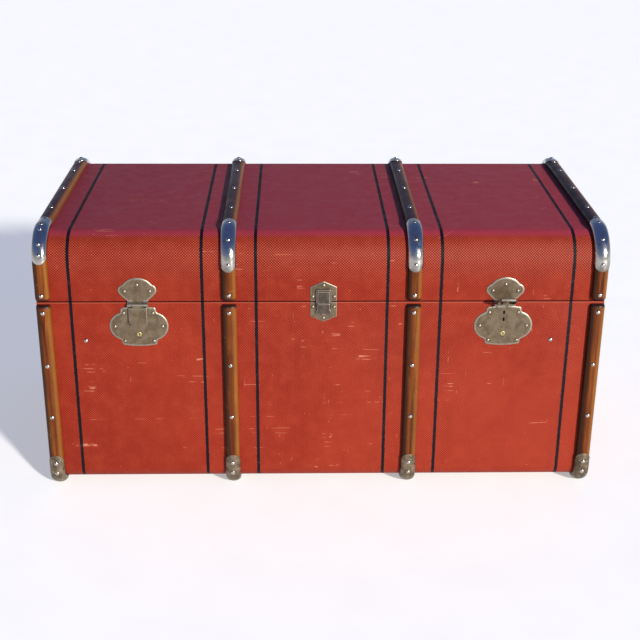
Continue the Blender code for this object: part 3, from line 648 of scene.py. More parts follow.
def make_slats():
    profile = crown_profile(SLAT_HALF_WIDTH, GAP, SLAT_SIDE, SLAT_CROWN)
    lengths = arc_lengths(profile)
    worn_end = ((0.0, 0.90, 0.72), (1.2 * MM, 0.965, 0.88), (3.2 * MM, 0.995, 0.975), (7 * MM, 1, 1))
    for body, wrap in WRAPS.items():
        start, end = SLAT_SEAM_GAP, wrap.length - SLAT_SEAM_GAP
        stations = [(start + d, wide, high) for d, wide, high in worn_end]
        middle = wrap.stations(start + 7 * MM, end - 7 * MM)
        stations += [(s, 1, 1) for s in middle if start + 8 * MM < s < end - 8 * MM]
        stations += [(end - d, wide, high) for d, wide, high in reversed(worn_end)]
        for number, (place, x) in enumerate(SLATS.items()):
            rows = []
            for s, wide, high in stations:
                row = []
                for a, h in profile:
                    height = GAP + (h - GAP) * high
                    row.append(wrap.at(x + a * wide, s, height)[0])
                rows.append(row)
            grain = [s + 1.7 * number + (9.0 if body == "lid" else 0.0) for s, _, _ in stations]
            shape = skin(rows, grain, lengths + [lengths[-1]], closed=True, ends=True)
            name = f"{body}_slat_{place}"
            add(f"{name}_bent", shape, body, WOOD, "varnished_wood", name)


def cap_rows(wrap, x, start, end, stand):
    """A cap over a slat: half-round across, with rounded ends and a turned-down rim."""
    half = SLAT_HALF_WIDTH + stand
    profile = crown_profile(half, 1.5 * MM, SLAT_SIDE, SLAT_CROWN + stand, 22)
    lengths = arc_lengths(profile)
    count = 44
    rows = []
    for i in range(count + 1):
        row = []
        for (a, h) in profile:
            reach = min(abs(a) / half, 1.0)
            back_off = 12.5 * MM * (1 - math.sqrt(1 - reach**2)) + 0.5 * max(SLAT_SIDE - h, 0.0)
            first, last = start + back_off, end - back_off
            s = first + (last - first) * i / count
            row.append(wrap.at(x + a, s, h)[0])
        rows.append(row)
    return rows, [start + (end - start) * i / count for i in range(count + 1)], lengths


def make_caps():
    kinds = (
        ("lid", "lid_cap", 56.3 * MM, 155.4 * MM, POLISHED, "polished_nickel"),
        ("base", "foot_cap", 287 * MM, 370.3 * MM, DULL, "dull_nickel"),
    )
    for body, kind, start, end, finish, slot in kinds:
        wrap = WRAPS[body]
        for place, x in SLATS.items():
            for face in ("front", "rear"):
                name = f"{kind}_{face}_{place}"
                slip = CAP_SLIP if name == SLIPPED_CAP else 0.0
                span = (start + slip, end + 0.7 * slip)
                if face == "rear":
                    span = (wrap.length - end, wrap.length - start)
                rows, us, vs = cap_rows(wrap, x, *span, CAP_STAND)
                made = add(f"{name}_pressed", skin(rows, us, vs), body, finish, slot, name)
                thicken(made, CAP_SHEET)
                soften(made, 0.3 * MM, 2)


def ring(middle, turned, radius, level, count):
    """Points round a circle, at a level along the turned Z axis."""
    points = []
    for j in range(count):
        turn = 2 * math.pi * j / count
        flat = Vector((radius * math.cos(turn), radius * math.sin(turn), level))
        points.append(middle + turned @ flat)
    return points


def dome(point, out, radius, height, sunk=0.6 * MM, segments=20, rings=5):
    """A domed nail or rivet head standing on a point."""
    turned = out.to_track_quat("Z", "Y")
    levels = [(radius * 0.98, -sunk), (radius, 0.0)]
    for i in range(1, rings + 1):
        turn = math.pi / 2 * i / (rings + 0.25)
        levels.append((radius * math.cos(turn), height * math.sin(turn)))
    rows = [ring(Vector(point), turned, r, h, segments) for r, h in levels]
    return skin(rows, [h for _, h in levels], [0.0] * (segments + 1), closed=True, ends=True)


NAIL_RADIUS = 4 * MM
NAIL_HEIGHT = 2.7 * MM


def make_nails():
    """Domed nails in the slats and caps, and two lone studs on the front."""
    lid, base = WRAPS["lid"], WRAPS["base"]
    on_top = [lid.length / 2 + off for off in (-117 * MM, 0.0, 117 * MM)]
    lid_slat = [14.6 * MM, lid.length - 14.6 * MM] + on_top
    lid_cap = [68 * MM, lid.straight + lid.bend / 2, lid.straight + lid.bend * 0.955]
    slipped = [82 * MM, 97 * MM, 121 * MM, 133 * MM]
    base_slat = [16.5 * MM, 114 * MM, 212 * MM]
    under = [base.length / 2 + off for off in (-90 * MM, 90 * MM)]
    base_cap = [303 * MM, 321 * MM]
    for body, slat, cap in (("lid", lid_slat, lid_cap), ("base", base_slat, base_cap)):
        wrap = WRAPS[body]
        heads = []
        for place, x in SLATS.items():
            own = list(slat)
            if body == "base":
                own += [wrap.length - s for s in slat] + under
            elif place.startswith("outer"):
                own += [wrap.length / 2 - 178.5 * MM, wrap.length / 2 + 178.5 * MM]
            for s in own:
                heads.append(dome(*wrap.at(x, s, SLAT_RISE - 0.4 * MM), NAIL_RADIUS, NAIL_HEIGHT))
            front_cap = slipped if SLIPPED_CAP == f"{body}_cap_front_{place}" else cap
            for s in front_cap + [wrap.length - s for s in cap]:
                stand = SLAT_RISE + CAP_STAND - 0.3 * MM
                low = 1.7 * MM if body == "base" and s != cap[0] else 2.3 * MM
                heads.append(dome(*wrap.at(x, s, stand), NAIL_RADIUS * 0.95, low))
        if body == "base":
            for x in (-400 * MM, 392 * MM):
                heads.append(dome(*wrap.at(x, 71 * MM, 0.0), NAIL_RADIUS, NAIL_HEIGHT))
        add(f"{body}_nails", merged(*heads), body, NAIL, "polished_nickel")


# ---------------------------------------------------------------- fittings


def arc(centre, radius, start, end, steps=14):
    """Points along an arc, its angles in degrees and counted anticlockwise."""
    turns = [math.radians(start + (end - start) * step / steps) for step in range(steps + 1)]
    return [(centre[0] + radius * math.cos(a), centre[1] + radius * math.sin(a)) for a in turns]


def mm(*points):
    """Points given in millimetres."""
    return [(a * MM, b * MM) for a, b in points]


def brought(points, a, b):
    """Points given from (a, b)."""
    return [(a + p, b + q) for p, q in points]


def sides(half, low, high):
    """The corners of a rectangle, from its lower right one up and round."""
    return [(half, low), (half, high), (-half, high), (-half, low)]


def both_ends(near, far):
    """One span on the left of the middle, and the same on its right."""
    return (-far, -near), (near, far)


def mirrored(points):
    """The outline of a shape whose right half is given from its top to its bottom."""
    return points + [(-x, z) for x, z in reversed(points) if abs(x) > GAP]


def rounded(points, radius, steps=5):
    """An outline with its corners rounded off."""
    rounded_off = []
    for i, corner in enumerate(points):
        corner = Vector(corner)
        back = (Vector(points[i - 1]) - corner).normalized()
        ahead = (Vector(points[(i + 1) % len(points)]) - corner).normalized()
        half = back.angle(ahead) / 2
        reach = radius / math.tan(half)
        for step in range(steps + 1):
            t = step / steps
            bend = back * reach * (1 - t) ** 2 + ahead * reach * t**2
            rounded_off.append(tuple(corner + bend))
    return rounded_off


def inset(points, distance):
    """A closed outline moved inwards."""
    count = len(points)
    area = sum(
        points[i - 1][0] * points[i][1] - points[i][0] * points[i - 1][1] for i in range(count)
    )
    turn = 1 if area > 0 else -1
    moved = []
    for i, point in enumerate(points):
        before = (Vector(point) - Vector(points[i - 1])).normalized()
        after = (Vector(points[(i + 1) % count]) - Vector(point)).normalized()
        inward = [Vector((-edge.y, edge.x)) * turn for edge in (before, after)]
        both = inward[0] + inward[1]
        share = max(1 + inward[0].dot(inward[1]), 0.3)
        moved.append(tuple(Vector(point) + both * (distance / share)))
    return moved


def curved(points):
    """The lines at any inset of an outline whose bends are wide."""
    return lambda margin: inset(points, margin)


def cornered(points, radius):
    """The lines at any inset of an outline with rounded corners."""
    return lambda margin: rounded(inset(points, margin), max(radius - margin, 0.3 * MM))


def perimeter(points):
    lengths = [0.0]
    for i, point in enumerate(points):
        lengths.append(lengths[-1] + math.dist(point, points[(i + 1) % len(points)]))
    return lengths


def dyed(shape, index):
    for face in shape.faces:
        face.material_index = index
    return shape


def pressed(outline, place, steps, bright=1):
    """Sheet metal raised from an outline, through (inset, proud) steps up to its face."""
    if not callable(outline):
        outline = curved(outline)
    rows = [[place(a, b, proud) for a, b in outline(margin)] for margin, proud in steps]
    outline = outline(0)
    us = [0.0]
    for (m0, p0), (m1, p1) in zip(steps, steps[1:]):
        us.append(us[-1] + math.hypot(m1 - m0, p1 - p0))
    shape = dyed(skin(rows, us, perimeter(outline), closed=True), bright)
    shape.verts.ensure_lookup_table()
    count = len(outline)
    shape.faces.new(shape.verts[-count:])
    shape.faces.new(shape.verts[:count])
    return shape


def pan(outline, place, steps, sheet):
    """Sheet metal folded into a pan: (inset, proud) steps up its outside, and a hollow back."""
    back, face = steps[0][1], max(proud for _, proud in steps)
    inner = face - sheet
    fold = 0.6 * MM
    inside = [(sheet + 3 * fold, inner), (sheet + fold, inner), (sheet, inner - fold), (sheet, back)]
    rows = []
    us = [0.0]
    last = inside[0]
    for margin, proud in inside + steps:
        rows.append([place(a, b, proud) for a, b in outline(margin)])
        us.append(us[-1] + math.hypot(margin - last[0], proud - last[1]))
        last = (margin, proud)
    shape = skin(rows, us[1:], perimeter(outline(0)), closed=True, ends=True)
    count = len(rows[0])
    shape.faces.ensure_lookup_table()
    # the insides of the pan take the third finish, a painted shade; the rounded edges take the second
    for i, folded in enumerate(shape.faces):
        row = i // count
        if row < len(inside) - 1 or i == len(rows) * count - count:
            folded.material_index = 2
        elif len(inside) <= row < len(inside) + EDGE_STEPS and row < len(rows) - 1:
            folded.material_index = 1
    return shape


def on_front(x, rise=0.0):
    return lambda a, b, proud: Vector((x + a, FRONT_Y - proud, SEAM_Z + rise + b))


def on_back(x):
    return lambda a, b, proud: Vector((x + a, BACK_Y + proud, SEAM_Z + b))


def on_end(side, z):
    return lambda a, b, proud: Vector((side * (HALF_WIDTH + proud), MIDDLE_Y + a, z + b))


EDGE_STEPS = 5


def sheet_edge(back, face, width, height):
    """Steps for a plate whose front edges are rounded over."""
    around = [(0.0, back)]
    for i in range(EDGE_STEPS + 1):
        turn = math.pi / 2 * i / EDGE_STEPS
        around.append((width * (1 - math.cos(turn)), face - height * (1 - math.sin(turn))))
    return around


def rod(start, end, radius, soft=0.3 * MM, segments=24):
    """A round bar between two points, its ends eased."""
    start, end = Vector(start), Vector(end)
    along = end - start
    turned = along.to_track_quat("Z", "Y")
    far = along.length
    levels = ((0, radius - soft), (soft, radius), (far - soft, radius), (far, radius - soft))
    rows = [ring(start, turned, r, level, segments) for level, r in levels]
    around = [2 * math.pi * radius * j / segments for j in range(segments + 1)]
    return skin(rows, [level for level, _ in levels], around, closed=True, ends=True)


def axle(place, low, high, at, radius, soft=0.3 * MM, segments=24):
    """A round bar along X, at a (rise, proud) place."""
    return rod(place(low, *at), place(high, *at), radius, soft, segments)


def bar(profile, place, low, high, soft=0.3 * MM):
    """A profile of (rise, proud) drawn out along X between two places, its ends eased."""
    levels = ((low, soft), (low + soft, 0.0), (high - soft, 0.0), (high, soft))
    rows = [[place(at, b, proud) for b, proud in inset(profile, margin)] for at, margin in levels]
    return skin(rows, [at for at, _ in levels], perimeter(profile), closed=True, ends=True)


def rivets(place, spots, face, radius=2.8 * MM, height=1.8 * MM):
    heads = []
    for a, b in spots:
        point = place(a, b, face)
        out = (place(a, b, face + 1 * MM) - point).normalized()
        heads.append(dyed(dome(point, out, radius, height, 0.3 * MM, 16, 4), 1))
        # a dark ring under each head, shifted down and to the left: a painted contact shade
        low, high = (place(a - 0.3 * MM, b - 0.3 * MM, face + up) for up in (-0.1 * MM, 0.05 * MM))
        heads.append(dyed(rod(low, high, radius + 0.7 * MM, 0.02 * MM, 18), 2))
    return heads


PLATE_BACK, PLATE_FACE = 0.3 * MM, 1.5 * MM
PLATE_STEPS = sheet_edge(PLATE_BACK, PLATE_FACE, 3.0 * MM, 1.1 * MM)
LOCK_SLOTS = (25.5 * MM, 12.7 * MM)
PLUG_DROP = 14.3 * MM
HASP_PIN = (-4 * MM, 4.8 * MM)
KNUCKLE = 3.2 * MM
RIGHT_HASP_RAISED = math.radians(123)


def hole(place, outline, low=-3 * MM, high=4 * MM):
    return pressed(outline, place, ((0, low), (0, high)))


def slot_outline(centre, half_width, half_height):
    corners = sides(half_width, -half_height, half_height)
    return brought(rounded(corners, half_width * 0.95, 4), *centre)


def fit(node, way, parts, body, finish=None):
    """A fitting of plated sheet, rods and rivets, in the place of a CAD node."""
    return add(f"{node}_{way}", merged(*parts), body, finish or PLATED, "aged_nickel", node)


def make_lock(side_name, side):
    """A lock plate with its slots and rivets, and the brass key plug."""
    place = on_front(side * LOCK_X, LOCK_RISE)
    crown = arc((0, -113.4 * MM), 150 * MM, 90, 80.3, 8)
    shoulder = arc((24.9 * MM, 29.6 * MM), 5 * MM, 76, -5, 8)
    nick = arc((34.9 * MM, 28.7 * MM), 5 * MM, 175, 249, 8)
    lobe = arc((24.3 * MM, 0), 25.6 * MM, 68, 0, 18)
    upper = crown + shoulder + nick + lobe
    outline = mirrored(upper + [(x, -z) for x, z in reversed(upper[:-1])])[:-1]
    spots = [(24.5 * MM * end, rise) for end in (-1, 1) for rise in (24.2 * MM, -26.8 * MM)]
    spots += mm((-40, 0), (40, 0))
    parts = [pressed(outline, place, PLATE_STEPS), *rivets(place, spots, PLATE_FACE)]
    plate = fit(f"lock_plate_{side_name}", "cast", parts, "base")
    openings = [
        hole(place, slot_outline((0, slot - 1.2 * MM), 1.6 * MM, 3.2 * MM)) for slot in LOCK_SLOTS
    ]
    openings.append(hole(place, arc((0, -PLUG_DROP), 4.1 * MM, 0, 345, 23)))
    dot = (0.3 * MM, -PLUG_DROP - 6.3 * MM)
    openings.append(hole(place, arc(dot, 1.3 * MM, 0, 330, 11)))
    cut_with(plate, merged(*openings))
    # a dark disc behind the small hole: painted shade in its depth
    hole_shade_disc = rod(place(*dot, 0.35 * MM), place(*dot, 0.6 * MM), 1.28 * MM, 0.05 * MM)
    add(f"lock_hole_shade_{side_name}", hole_shade_disc, "base", HOLE_SHADE, "aged_nickel")

    plug_at = on_front(side * LOCK_X, LOCK_RISE - PLUG_DROP)
    disc = arc((0, 0), 4 * MM, 0, 352.5, 47)
    face = PLATE_FACE + 0.5 * MM
    parts = [pressed(disc, plug_at, sheet_edge(-1 * MM, face, 0.8 * MM, 0.5 * MM), 0)]
    parts.append(rod(plug_at(0, 0, -1.2 * MM), plug_at(0, 0, -0.2 * MM), 5.5 * MM))
    cam = -3.5 * MM * math.sqrt(0.5)
    parts.append(rod(plug_at(cam, -cam, -3.1 * MM), plug_at(cam, -cam, -0.9 * MM), 1 * MM, 0.1 * MM))
    name = f"lock_plug_{side_name}"
    plug = add(f"{name}_turned", merged(*parts), name, BRASS, "brass", name)
    keyway = slot_outline((0.5 * MM, 0), 0.9 * MM, 2.4 * MM)
    cut_with(plug, hole(plug_at, keyway, 0.1 * MM))
    # a dark floor in the keyway: painted shade in its depth
    bed = slot_outline((0.5 * MM, 0), 0.95 * MM, 2.45 * MM)
    floor = pressed(bed, plug_at, ((0, 0.0), (0, 0.4 * MM)), 0)
    add(f"lock_keyway_shade_{side_name}", floor, name, HOLE_SHADE, "brass")


def knuckle_profile(web):
    """A hinge's knuckle seen from its end, with the sheet that curls into it."""
    rise, proud = HASP_PIN
    return web + arc((rise, proud), KNUCKLE, 20, 235, 20)


def make_hasp_plate(side_name, side):
    place = on_front(side * LOCK_X)
    dome_line = arc((0, 13.4 * MM), 30 * MM, 90, 38, 12)
    nick = arc((25.9 * MM, 33.1 * MM), 2.5 * MM, 217, 250, 4)
    lobe = arc((21.9 * MM, 20.8 * MM), 10.4 * MM, 70, -54, 16)
    neck = mm((25.0, 8.9), (22.3, 6.4), (19.9, 4.4), (18.4, 3.0))
    neck += mm((17.7, 1.4), (17.7, -3.6))
    outline = mirrored(dome_line + nick + lobe + neck)
    spots = ((0, 30.8 * MM), (-21 * MM, 19.3 * MM), (21 * MM, 19.3 * MM))
    parts = [pressed(outline, place, PLATE_STEPS), *rivets(place, spots, PLATE_FACE)]
    web = mm((-6.0, 0.5), (3.4, 0.5), (3.4, 1.5), (1.6, 2.1), (0.3, 3.3), (-0.5, 4.6))
    for across in both_ends(9 * MM, 17.5 * MM):
        parts.append(dyed(bar(knuckle_profile(web), place, *across), 1))
    parts.append(dyed(axle(place, -17.9 * MM, 17.9 * MM, HASP_PIN, 1.3 * MM), 1))
    fit(f"hasp_plate_{side_name}", "cast", parts, "lid")


def make_hasp_leaf(side_name, side):
    """The leaf: a pan with rounded edges and a ridge, a centre knuckle and two prongs."""
    place = on_front(side * LOCK_X)
    half, top, low, face = 15.7 * MM, -8.2 * MM, -40.4 * MM, 8 * MM
    corners = [(half, top), (half, low + 6 * MM), (half - 4.2 * MM, low)]
    steps = sheet_edge(3 * MM, face, 2.0 * MM, 1.8 * MM)
    profile = arc(HASP_PIN, KNUCKLE, 0, 345, 23)
    parts = [
        pan(cornered(mirrored(corners), 1.6 * MM), place, steps, 1 * MM),
        dyed(bar(profile, place, -8.7 * MM, 8.7 * MM), 1),
    ]
    ridge = brought(mm((-1.4, -0.3), (-1.8, 0.35), (-2.5, 0.35), (-2.9, -0.3)), top, face)
    parts.append(dyed(bar(ridge, place, -half + 1 * MM, half - 1 * MM, 0.15 * MM), 1))
    tongue = mm((-10, 6.9), (-10, 8), (-5, 8), (-5, 6.9))
    parts.append(bar(tongue, place, -8.7 * MM, 8.7 * MM))
    for spot in LOCK_SLOTS:
        stem = mm((-1.2, 7.4), (-1.2, -4.4), (2.4, -4.4), (2.4, -3.2), (1.2, -2.8), (1.2, 7.4))
        parts.append(bar(brought(stem, LOCK_RISE + spot, 0), place, -1.2 * MM, 1.2 * MM))
    leaf = merged(*parts)
    if side_name == "right":
        pivot = place(0, *HASP_PIN)
        bmesh.ops.rotate(
            leaf, verts=leaf.verts, cent=pivot, matrix=Matrix.Rotation(-RIGHT_HASP_RAISED, 3, "X")
        )
    name = f"hasp_leaf_{side_name}"
    add(f"{name}_folded", leaf, name, PLATED, "aged_nickel", name)


def latch_pins():
    """Where the lever's pin and the hook's pin lie, as (rise, proud)."""
    joints = {joint["name"]: joint for joint in frame["joints"]}
    lever = joints["latch_lever_hinge"]["pos_m"]
    hook = joints["latch_hook_hinge"]["pos_m"]
    proud = FRONT_Y - lever[1]
    return (lever[2] - SEAM_Z, proud), (hook[2] - SEAM_Z, proud)


LATCH_FACE = 7 * MM
LEVER_PIN, HOOK_PIN = latch_pins()


def make_latch():
    """The draw latch: two halves of a six-sided plate, a lever, and a hook over the keeper's rib."""
    place = on_front(LATCH_X)
    spots = ((0, 29.3 * MM), (-18 * MM, 9.3 * MM), (18 * MM, 9.3 * MM))
    for name, body, way in (("latch_plate", "base", -1), ("latch_keeper", "lid", 1)):
        right = [(0, way * 36.8 * MM), (22.4 * MM, way * 26.6 * MM), (22.4 * MM, way * 1 * MM)]
        steps = sheet_edge(PLATE_BACK, PLATE_FACE, 1.3 * MM, 1.1 * MM)
        parts = [pressed(cornered(mirrored(right), 0.8 * MM), place, steps)]
        parts += rivets(place, [(a, way * b) for a, b in spots], PLATE_FACE)
        if body == "lid":
            rib = mm((14.8, 1), (15.2, 3.8), (16.2, 4.2), (17.6, 4.1), (18.4, 3.2), (18.4, 1))
            parts.append(bar(rib, place, -9 * MM, 9 * MM))
        else:
            foot = brought(mm((1.5, 0.8), (-1.5, 0.8)), LEVER_PIN[0], 0)
            lug = foot[:1] + arc(LEVER_PIN, 2.1 * MM, -20, 200, 14) + foot[1:]
            for across in both_ends(8.3 * MM, 9.4 * MM):
                parts.append(bar(lug, place, *across, soft=0.15 * MM))
        fit(name, "cast", parts, body)
    pin = axle(place, -10.8 * MM, 10.8 * MM, LEVER_PIN, 1 * MM)
    fit("latch_pin", "turned", [pin], "base", BRIGHT)
    make_lever(place)
    make_hook(place)


def make_lever(place):
    half, foot, shelf = 10.8 * MM, 12.4 * MM, -12.8 * MM
    low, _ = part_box("latch_lever")
    top, bottom = LEVER_PIN[0] + 0.2 * MM, low.z - SEAM_Z
    corners = mirrored([(half, top), (half, shelf), (foot, shelf), (foot, bottom)])
    steps = sheet_edge(2.4 * MM, LATCH_FACE, 1.6 * MM, 1.4 * MM)
    parts = [pan(cornered(corners, 0.9 * MM), place, steps, 0.9 * MM)]
    eye = arc(LEVER_PIN, 2 * MM, 0, 345, 23)
    for across in both_ends(9.8 * MM, 10.8 * MM):
        parts.append(bar(eye, place, *across, soft=0.15 * MM))
    parts.append(dyed(axle(place, -12.8 * MM, 12.8 * MM, HOOK_PIN, 1 * MM), 1))
    tab = brought(mm((-1.8, 4.6), (-1.8, 5.6), (1, 6.9), (1, 4.6)), bottom, 0)
    parts.append(dyed(bar(tab, place, -3.4 * MM, 3.4 * MM), 1))
    fit("latch_lever", "pressed", parts, "latch_lever", FOLDED)


def make_hook(place):
    """The hook: a cover with a raised bead along its top, and a flange down its sides."""
    _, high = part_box("latch_hook")
    half, top = 12.8 * MM, high.z - SEAM_Z
    bottom = LEVER_PIN[0] + 0.8 * MM
    corners = sides(half, bottom, top)
    steps = sheet_edge(2.2 * MM, LATCH_FACE - 0.7 * MM, 1.4 * MM, 1.3 * MM)
    parts = [pan(cornered(corners, 2.2 * MM), place, steps, 0.9 * MM)]
    inner = sides(half - 2.6 * MM, bottom + 0.1 * MM, top - 3.2 * MM)
    steps = sheet_edge(LATCH_FACE - 1.2 * MM, LATCH_FACE, 0.9 * MM, 0.5 * MM)
    parts.append(pressed(cornered(inner, 0.9 * MM), place, steps))
    leg = arc(HOOK_PIN, 1.9 * MM, 90, 270, 12)
    leg += brought(mm((2, -1.3), (2, 1.4)), bottom, HOOK_PIN[1])
    for across in both_ends(11.8 * MM, 12.8 * MM):
        parts.append(bar(leg, place, *across, soft=0.15 * MM))
    fit("latch_hook", "pressed", parts, "latch_hook", FOLDED)


def make_hinge(side_name, side):
    place = on_back(side * SLAT_PITCH)
    half, centre, proud, knuckle = 30 * MM, 14.5 * MM, 8.2 * MM, 3.3 * MM
    outer = centre + GAP
    leaves = (
        ("hinge_leaf_base", "base", -1, both_ends(outer, half)),
        ("hinge_leaf_lid", "lid", 1, ((-centre, centre),)),
    )
    for name, body, way, knuckles in leaves:
        corners = sides(half, way * 5 * MM, way * 42 * MM)
        parts = [pressed(rounded(corners, 3 * MM), place, PLATE_STEPS)]
        spots = mm((-21, way * 33), (21, way * 33), (0, way * 22))
        parts += rivets(place, spots, PLATE_FACE, 3.2 * MM, 1.6 * MM)
        for across in knuckles:
            web = mm((0, 1.0), (way * 8, 0.6), (way * 8, 1.5), (way * 5.4, 2.4), (way * 3.8, 4.6))
            profile = web + arc((0, proud), knuckle, *((0, 200) if way > 0 else (180, -20)), 20)
            parts.append(bar(profile, place, *across))
        fit(f"{name}_{side_name}", "rolled", parts, body)
    pin = [axle(place, -half - 0.6 * MM, half + 0.6 * MM, (0, proud), 1.5 * MM)]
    for head in both_ends(half + 0.2 * MM, half + 1.4 * MM):
        pin.append(axle(place, *head, (0, proud), 2.3 * MM, 0.4 * MM))
    fit(f"hinge_pin_{side_name}", "turned", pin, "base", BRIGHT)


HANDLE_Z = 262 * MM
HANDLE_HALF = 64 * MM
HANDLE_DROP = 46 * MM
HANDLE_CORNER = 22 * MM
HANDLE_PROUD = 9 * MM
HANDLE_EYE = (0, HANDLE_PROUD)


def make_handle(side_name, side):
    """An end handle: a plate with two loops and studs, and a stitched leather grip."""
    place = on_end(side, HANDLE_Z)
    half = HANDLE_HALF
    corners = sides(half + 18 * MM, -12 * MM, 12 * MM)
    parts = [pressed(rounded(corners, 10.5 * MM, 8), place, PLATE_STEPS)]
    spots = mm((-78, 0), (78, 0), (0, 0), (-32, 0), (32, 0))
    parts += rivets(place, spots, PLATE_FACE, 3 * MM, 1.8 * MM)
    loop = mm((-5, 1), (-4, 3), (-4, 9)) + arc(HANDLE_EYE, 4 * MM, 170, 10, 12)
    loop += mm((4, 9), (4, 3), (5, 1))
    for end, post in zip((-1, 1), both_ends(half + 7 * MM, half + 12 * MM)):
        parts.append(bar(loop, place, *post, soft=0.5 * MM))
        stud = [end * (half + off) for off in (-4.5 * MM, 9 * MM)]
        parts.append(dyed(axle(place, *stud, HANDLE_EYE, 2.4 * MM), 1))
    fit(f"handle_bracket_{side_name}", "cast", parts, "base")
    make_grip(side_name, place)


def grip_route():
    """The middle line of a grip, as (along the wall, height) from one eye to the other."""
    bend = HANDLE_HALF - HANDLE_CORNER
    low = -HANDLE_DROP
    right = [(HANDLE_HALF, 0.0), (HANDLE_HALF, low / 4)]
    right += arc((bend, low + HANDLE_CORNER), HANDLE_CORNER, 0, -90, 12)
    right += [(bend * 0.66, low - 0.4 * MM), (bend * 0.33, low - 0.8 * MM)]
    return right + [(0.0, low - 1.0 * MM)] + [(-a, b) for a, b in reversed(right)]


def make_grip(side_name, place):
    route = grip_route()
    count = len(route)
    lengths = [0.0]
    for p, q in zip(route, route[1:]):
        lengths.append(lengths[-1] + math.dist(p, q))
    total = lengths[-1]
    rows, stitches = [], []
    segments = 28
    for i, (a, b) in enumerate(route):
        before, after = route[max(i - 1, 0)], route[min(i + 1, count - 1)]
        along = Vector((after[0] - before[0], after[1] - before[1])).normalized()
        across = Vector((-along.y, along.x))
        middle = math.sin(math.pi * lengths[i] / total)
        wide = 5.0 * MM + 2.2 * MM * middle**0.6
        thick = 4.2 * MM + 2.3 * MM * middle**0.6
        section = []
        for j in range(segments):
            turn = 2 * math.pi * j / segments
            seam = 1 - 0.10 * max(0.0, math.cos(turn)) ** 24 - 0.10 * max(0.0, -math.cos(turn)) ** 24
            side = across * (wide * math.cos(turn) * seam)
            section.append(place(a + side.x, b + side.y, HANDLE_PROUD + thick * math.sin(turn)))
        rows.append(section)
        if 2 < i < count - 3:
            for edge in (-1, 1):
                stitches.append((a, b, along, across * edge * wide * 0.62, thick * 0.80))
    around = [j * 1.3 * MM for j in range(segments + 1)]
    parts = [skin(rows, lengths, around, closed=True, ends=True)]
    for end in (-1, 1):
        eye = [end * (HANDLE_HALF + off) for off in (-4 * MM, 4 * MM)]
        parts.append(axle(place, *eye, HANDLE_EYE, 7 * MM, 1.2 * MM, 28))
    parts += sewn(place, stitches)
    name = f"handle_grip_{side_name}"
    add(f"{name}_stitched", merged(*parts), name, (LEATHER, THREAD), "leather", name)


def sewn(place, stitches):
    """Threads in pairs of short stitches down the outer face of a grip."""
    threads = []
    for a, b, along, off, height in stitches:
        for lead in (-2.2 * MM, 2.2 * MM):
            ends = []
            for reach in (-1.6 * MM, 1.6 * MM):
                at = along * (lead + reach)
                ends.append(place(a + off.x + at.x, b + off.y + at.y, HANDLE_PROUD + height))
            threads.append(dyed(rod(*ends, 0.45 * MM, 0.2 * MM, 8), 1))
    return threads


def plank(low, high, axis):
    """A board between two corners, its long edges eased and its grain along one axis."""
    low, high = Vector(low), Vector(high)
    others = [k for k in range(3) if k != axis]
    corners = []
    ends = (low, high)
    for i, j in ((0, 0), (1, 0), (1, 1), (0, 1)):
        corners.append((ends[i][others[0]], ends[j][others[1]]))
    profile = rounded(corners, 0.8 * MM, 3)
    rows, us = [], []
    ease = 0.4 * MM
    near, far = low[axis], high[axis]
    for at, margin in ((near, ease), (near + ease, 0), (far - ease, 0), (far, ease)):
        row = []
        for p, q in inset(profile, margin):
            point = Vector((0, 0, 0))
            point[axis], point[others[0]], point[others[1]] = at, p, q
            row.append(point)
        rows.append(row)
        us.append(at + 3 * axis)
    return skin(rows, us, perimeter(profile), closed=True, ends=True)


def make_inside():
    """The lip round the rim, in four boards, and the rests for a tray."""
    low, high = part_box("base_lip")
    sheet = 5 * MM
    boards = [
        plank(low, (high.x, low.y + sheet, high.z), 0),
        plank((low.x, high.y - sheet, low.z), high, 0),
        plank((low.x, low.y + sheet, low.z), (low.x + sheet, high.y - sheet, high.z), 1),
        plank((high.x - sheet, low.y + sheet, low.z), (high.x, high.y - sheet, high.z), 1),
    ]
    add("base_lip_boards", merged(*boards), "base", PLAIN_WOOD, "varnished_wood", "base_lip")
    for end in ("front", "rear"):
        for side_name in SIDES:
            name = f"tray_rest_{end}_{side_name}"
            block = plank(*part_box(name), 0)
            add(f"{name}_block", block, "base", PLAIN_WOOD, "varnished_wood", name)


# ---------------------------------------------------------------- stage


def make_stage():
    shape = bmesh.new()
    bmesh.ops.create_grid(shape, x_segments=1, y_segments=1, size=14)
    floor = standing("floor", meshed("floor", shape))
    floor.data.materials.append(plain_floor())


KEY_BEARING, KEY_HEIGHT = 34, 21
KEY_STRENGTH = 7.0
KEY_SPREAD = 4.0
KEY_COLOR = (1.0, 0.95, 0.87)
SKY_STRENGTH = 0.6
SKY = (
    (0.05, (1.20, 1.19, 1.18)),
    (0.22, (0.42, 0.52, 0.76)),
    (0.58, (0.14, 0.25, 0.60)),
    (0.90, (0.12, 0.18, 0.48)),
)
CAMERA_AT = (-0.0468, -2.1186, 1.1148)
CAMERA_TURN = (1.334, 22.826, 0.377)
CAMERA_LENS = 68.02


def lamp_from(name, bearing, height, strength, spread, color):
    """A distant soft light, its bearing and height in degrees from the front of the trunk."""
    lamp = bpy.data.lights.new(name, "SUN")
    lamp.energy = strength
    lamp.angle = math.radians(spread)
    lamp.color = color
    made = standing(name, lamp)
    turn, rise = math.radians(bearing), math.radians(height)
    away = Vector((math.sin(turn) * math.cos(rise), -math.cos(turn) * math.cos(rise), math.sin(rise)))
    made.rotation_euler = away.to_track_quat("Z", "Y").to_euler()


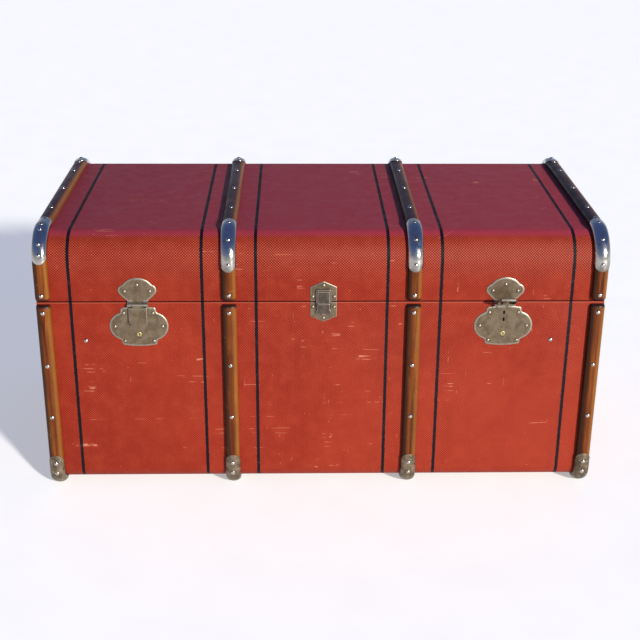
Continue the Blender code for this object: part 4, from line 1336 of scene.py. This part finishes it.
def make_light():
    lamp_from("key", KEY_BEARING, KEY_HEIGHT, KEY_STRENGTH, KEY_SPREAD, KEY_COLOR)
    world = bpy.data.worlds.new("studio")
    bpy.context.scene.world = world
    world.use_nodes = True
    nodes, links = world.node_tree.nodes, world.node_tree.links
    background = nodes["Background"]
    direction = nodes.new("ShaderNodeTexCoord")
    split = nodes.new("ShaderNodeSeparateXYZ")
    ramp = nodes.new("ShaderNodeValToRGB")
    links.new(direction.outputs["Generated"], split.inputs[0])
    links.new(split.outputs[2], ramp.inputs[0])
    links.new(ramp.outputs[0], background.inputs["Color"])
    elements = ramp.color_ramp.elements
    while len(elements) < len(SKY):
        elements.new(0.5)
    for element, (height, color) in zip(elements, SKY):
        element.position = height
        element.color = rgba(color)
    background.inputs["Strength"].default_value = SKY_STRENGTH


def make_camera():
    yaw, pitch, roll = (math.radians(angle) for angle in CAMERA_TURN)
    lens = bpy.data.cameras.new("camera")
    lens.lens = CAMERA_LENS
    lens.sensor_width = 36
    made = standing("camera", lens)
    turned = (
        Matrix.Rotation(-yaw, 4, "Z")
        @ Matrix.Rotation(math.pi / 2 - pitch, 4, "X")
        @ Matrix.Rotation(roll, 4, "Z")
    )
    made.matrix_world = Matrix.Translation(CAMERA_AT) @ turned
    bpy.context.scene.camera = made


def finish_frame():
    """Gives every CAD node that still shows its own material."""
    finishes = {
        "painted_canvas": CANVAS,
        "varnished_wood": PLAIN_WOOD,
        "polished_nickel": POLISHED,
        "dull_nickel": DULL,
        "aged_nickel": AGED,
        "brass": BRASS,
        "leather": LEATHER,
        "lining_paper": CLOTH,
    }
    for part in frame["record"]["subparts"]:
        mesh = frame["nodes"][part["node"]].data
        mesh.materials.clear()
        mesh.materials.append(finishes[part["material_slot"]])


make_canvas()
make_slats()
make_caps()
make_nails()
make_latch()
make_inside()
for side_name, side in SIDES.items():
    make_lock(side_name, side)
    make_hasp_plate(side_name, side)
    make_hasp_leaf(side_name, side)
    make_hinge(side_name, side)
    make_handle(side_name, side)
finish_frame()
make_stage()
make_light()
make_camera()
settle()
bpy.context.scene.view_settings.view_transform = "Standard"
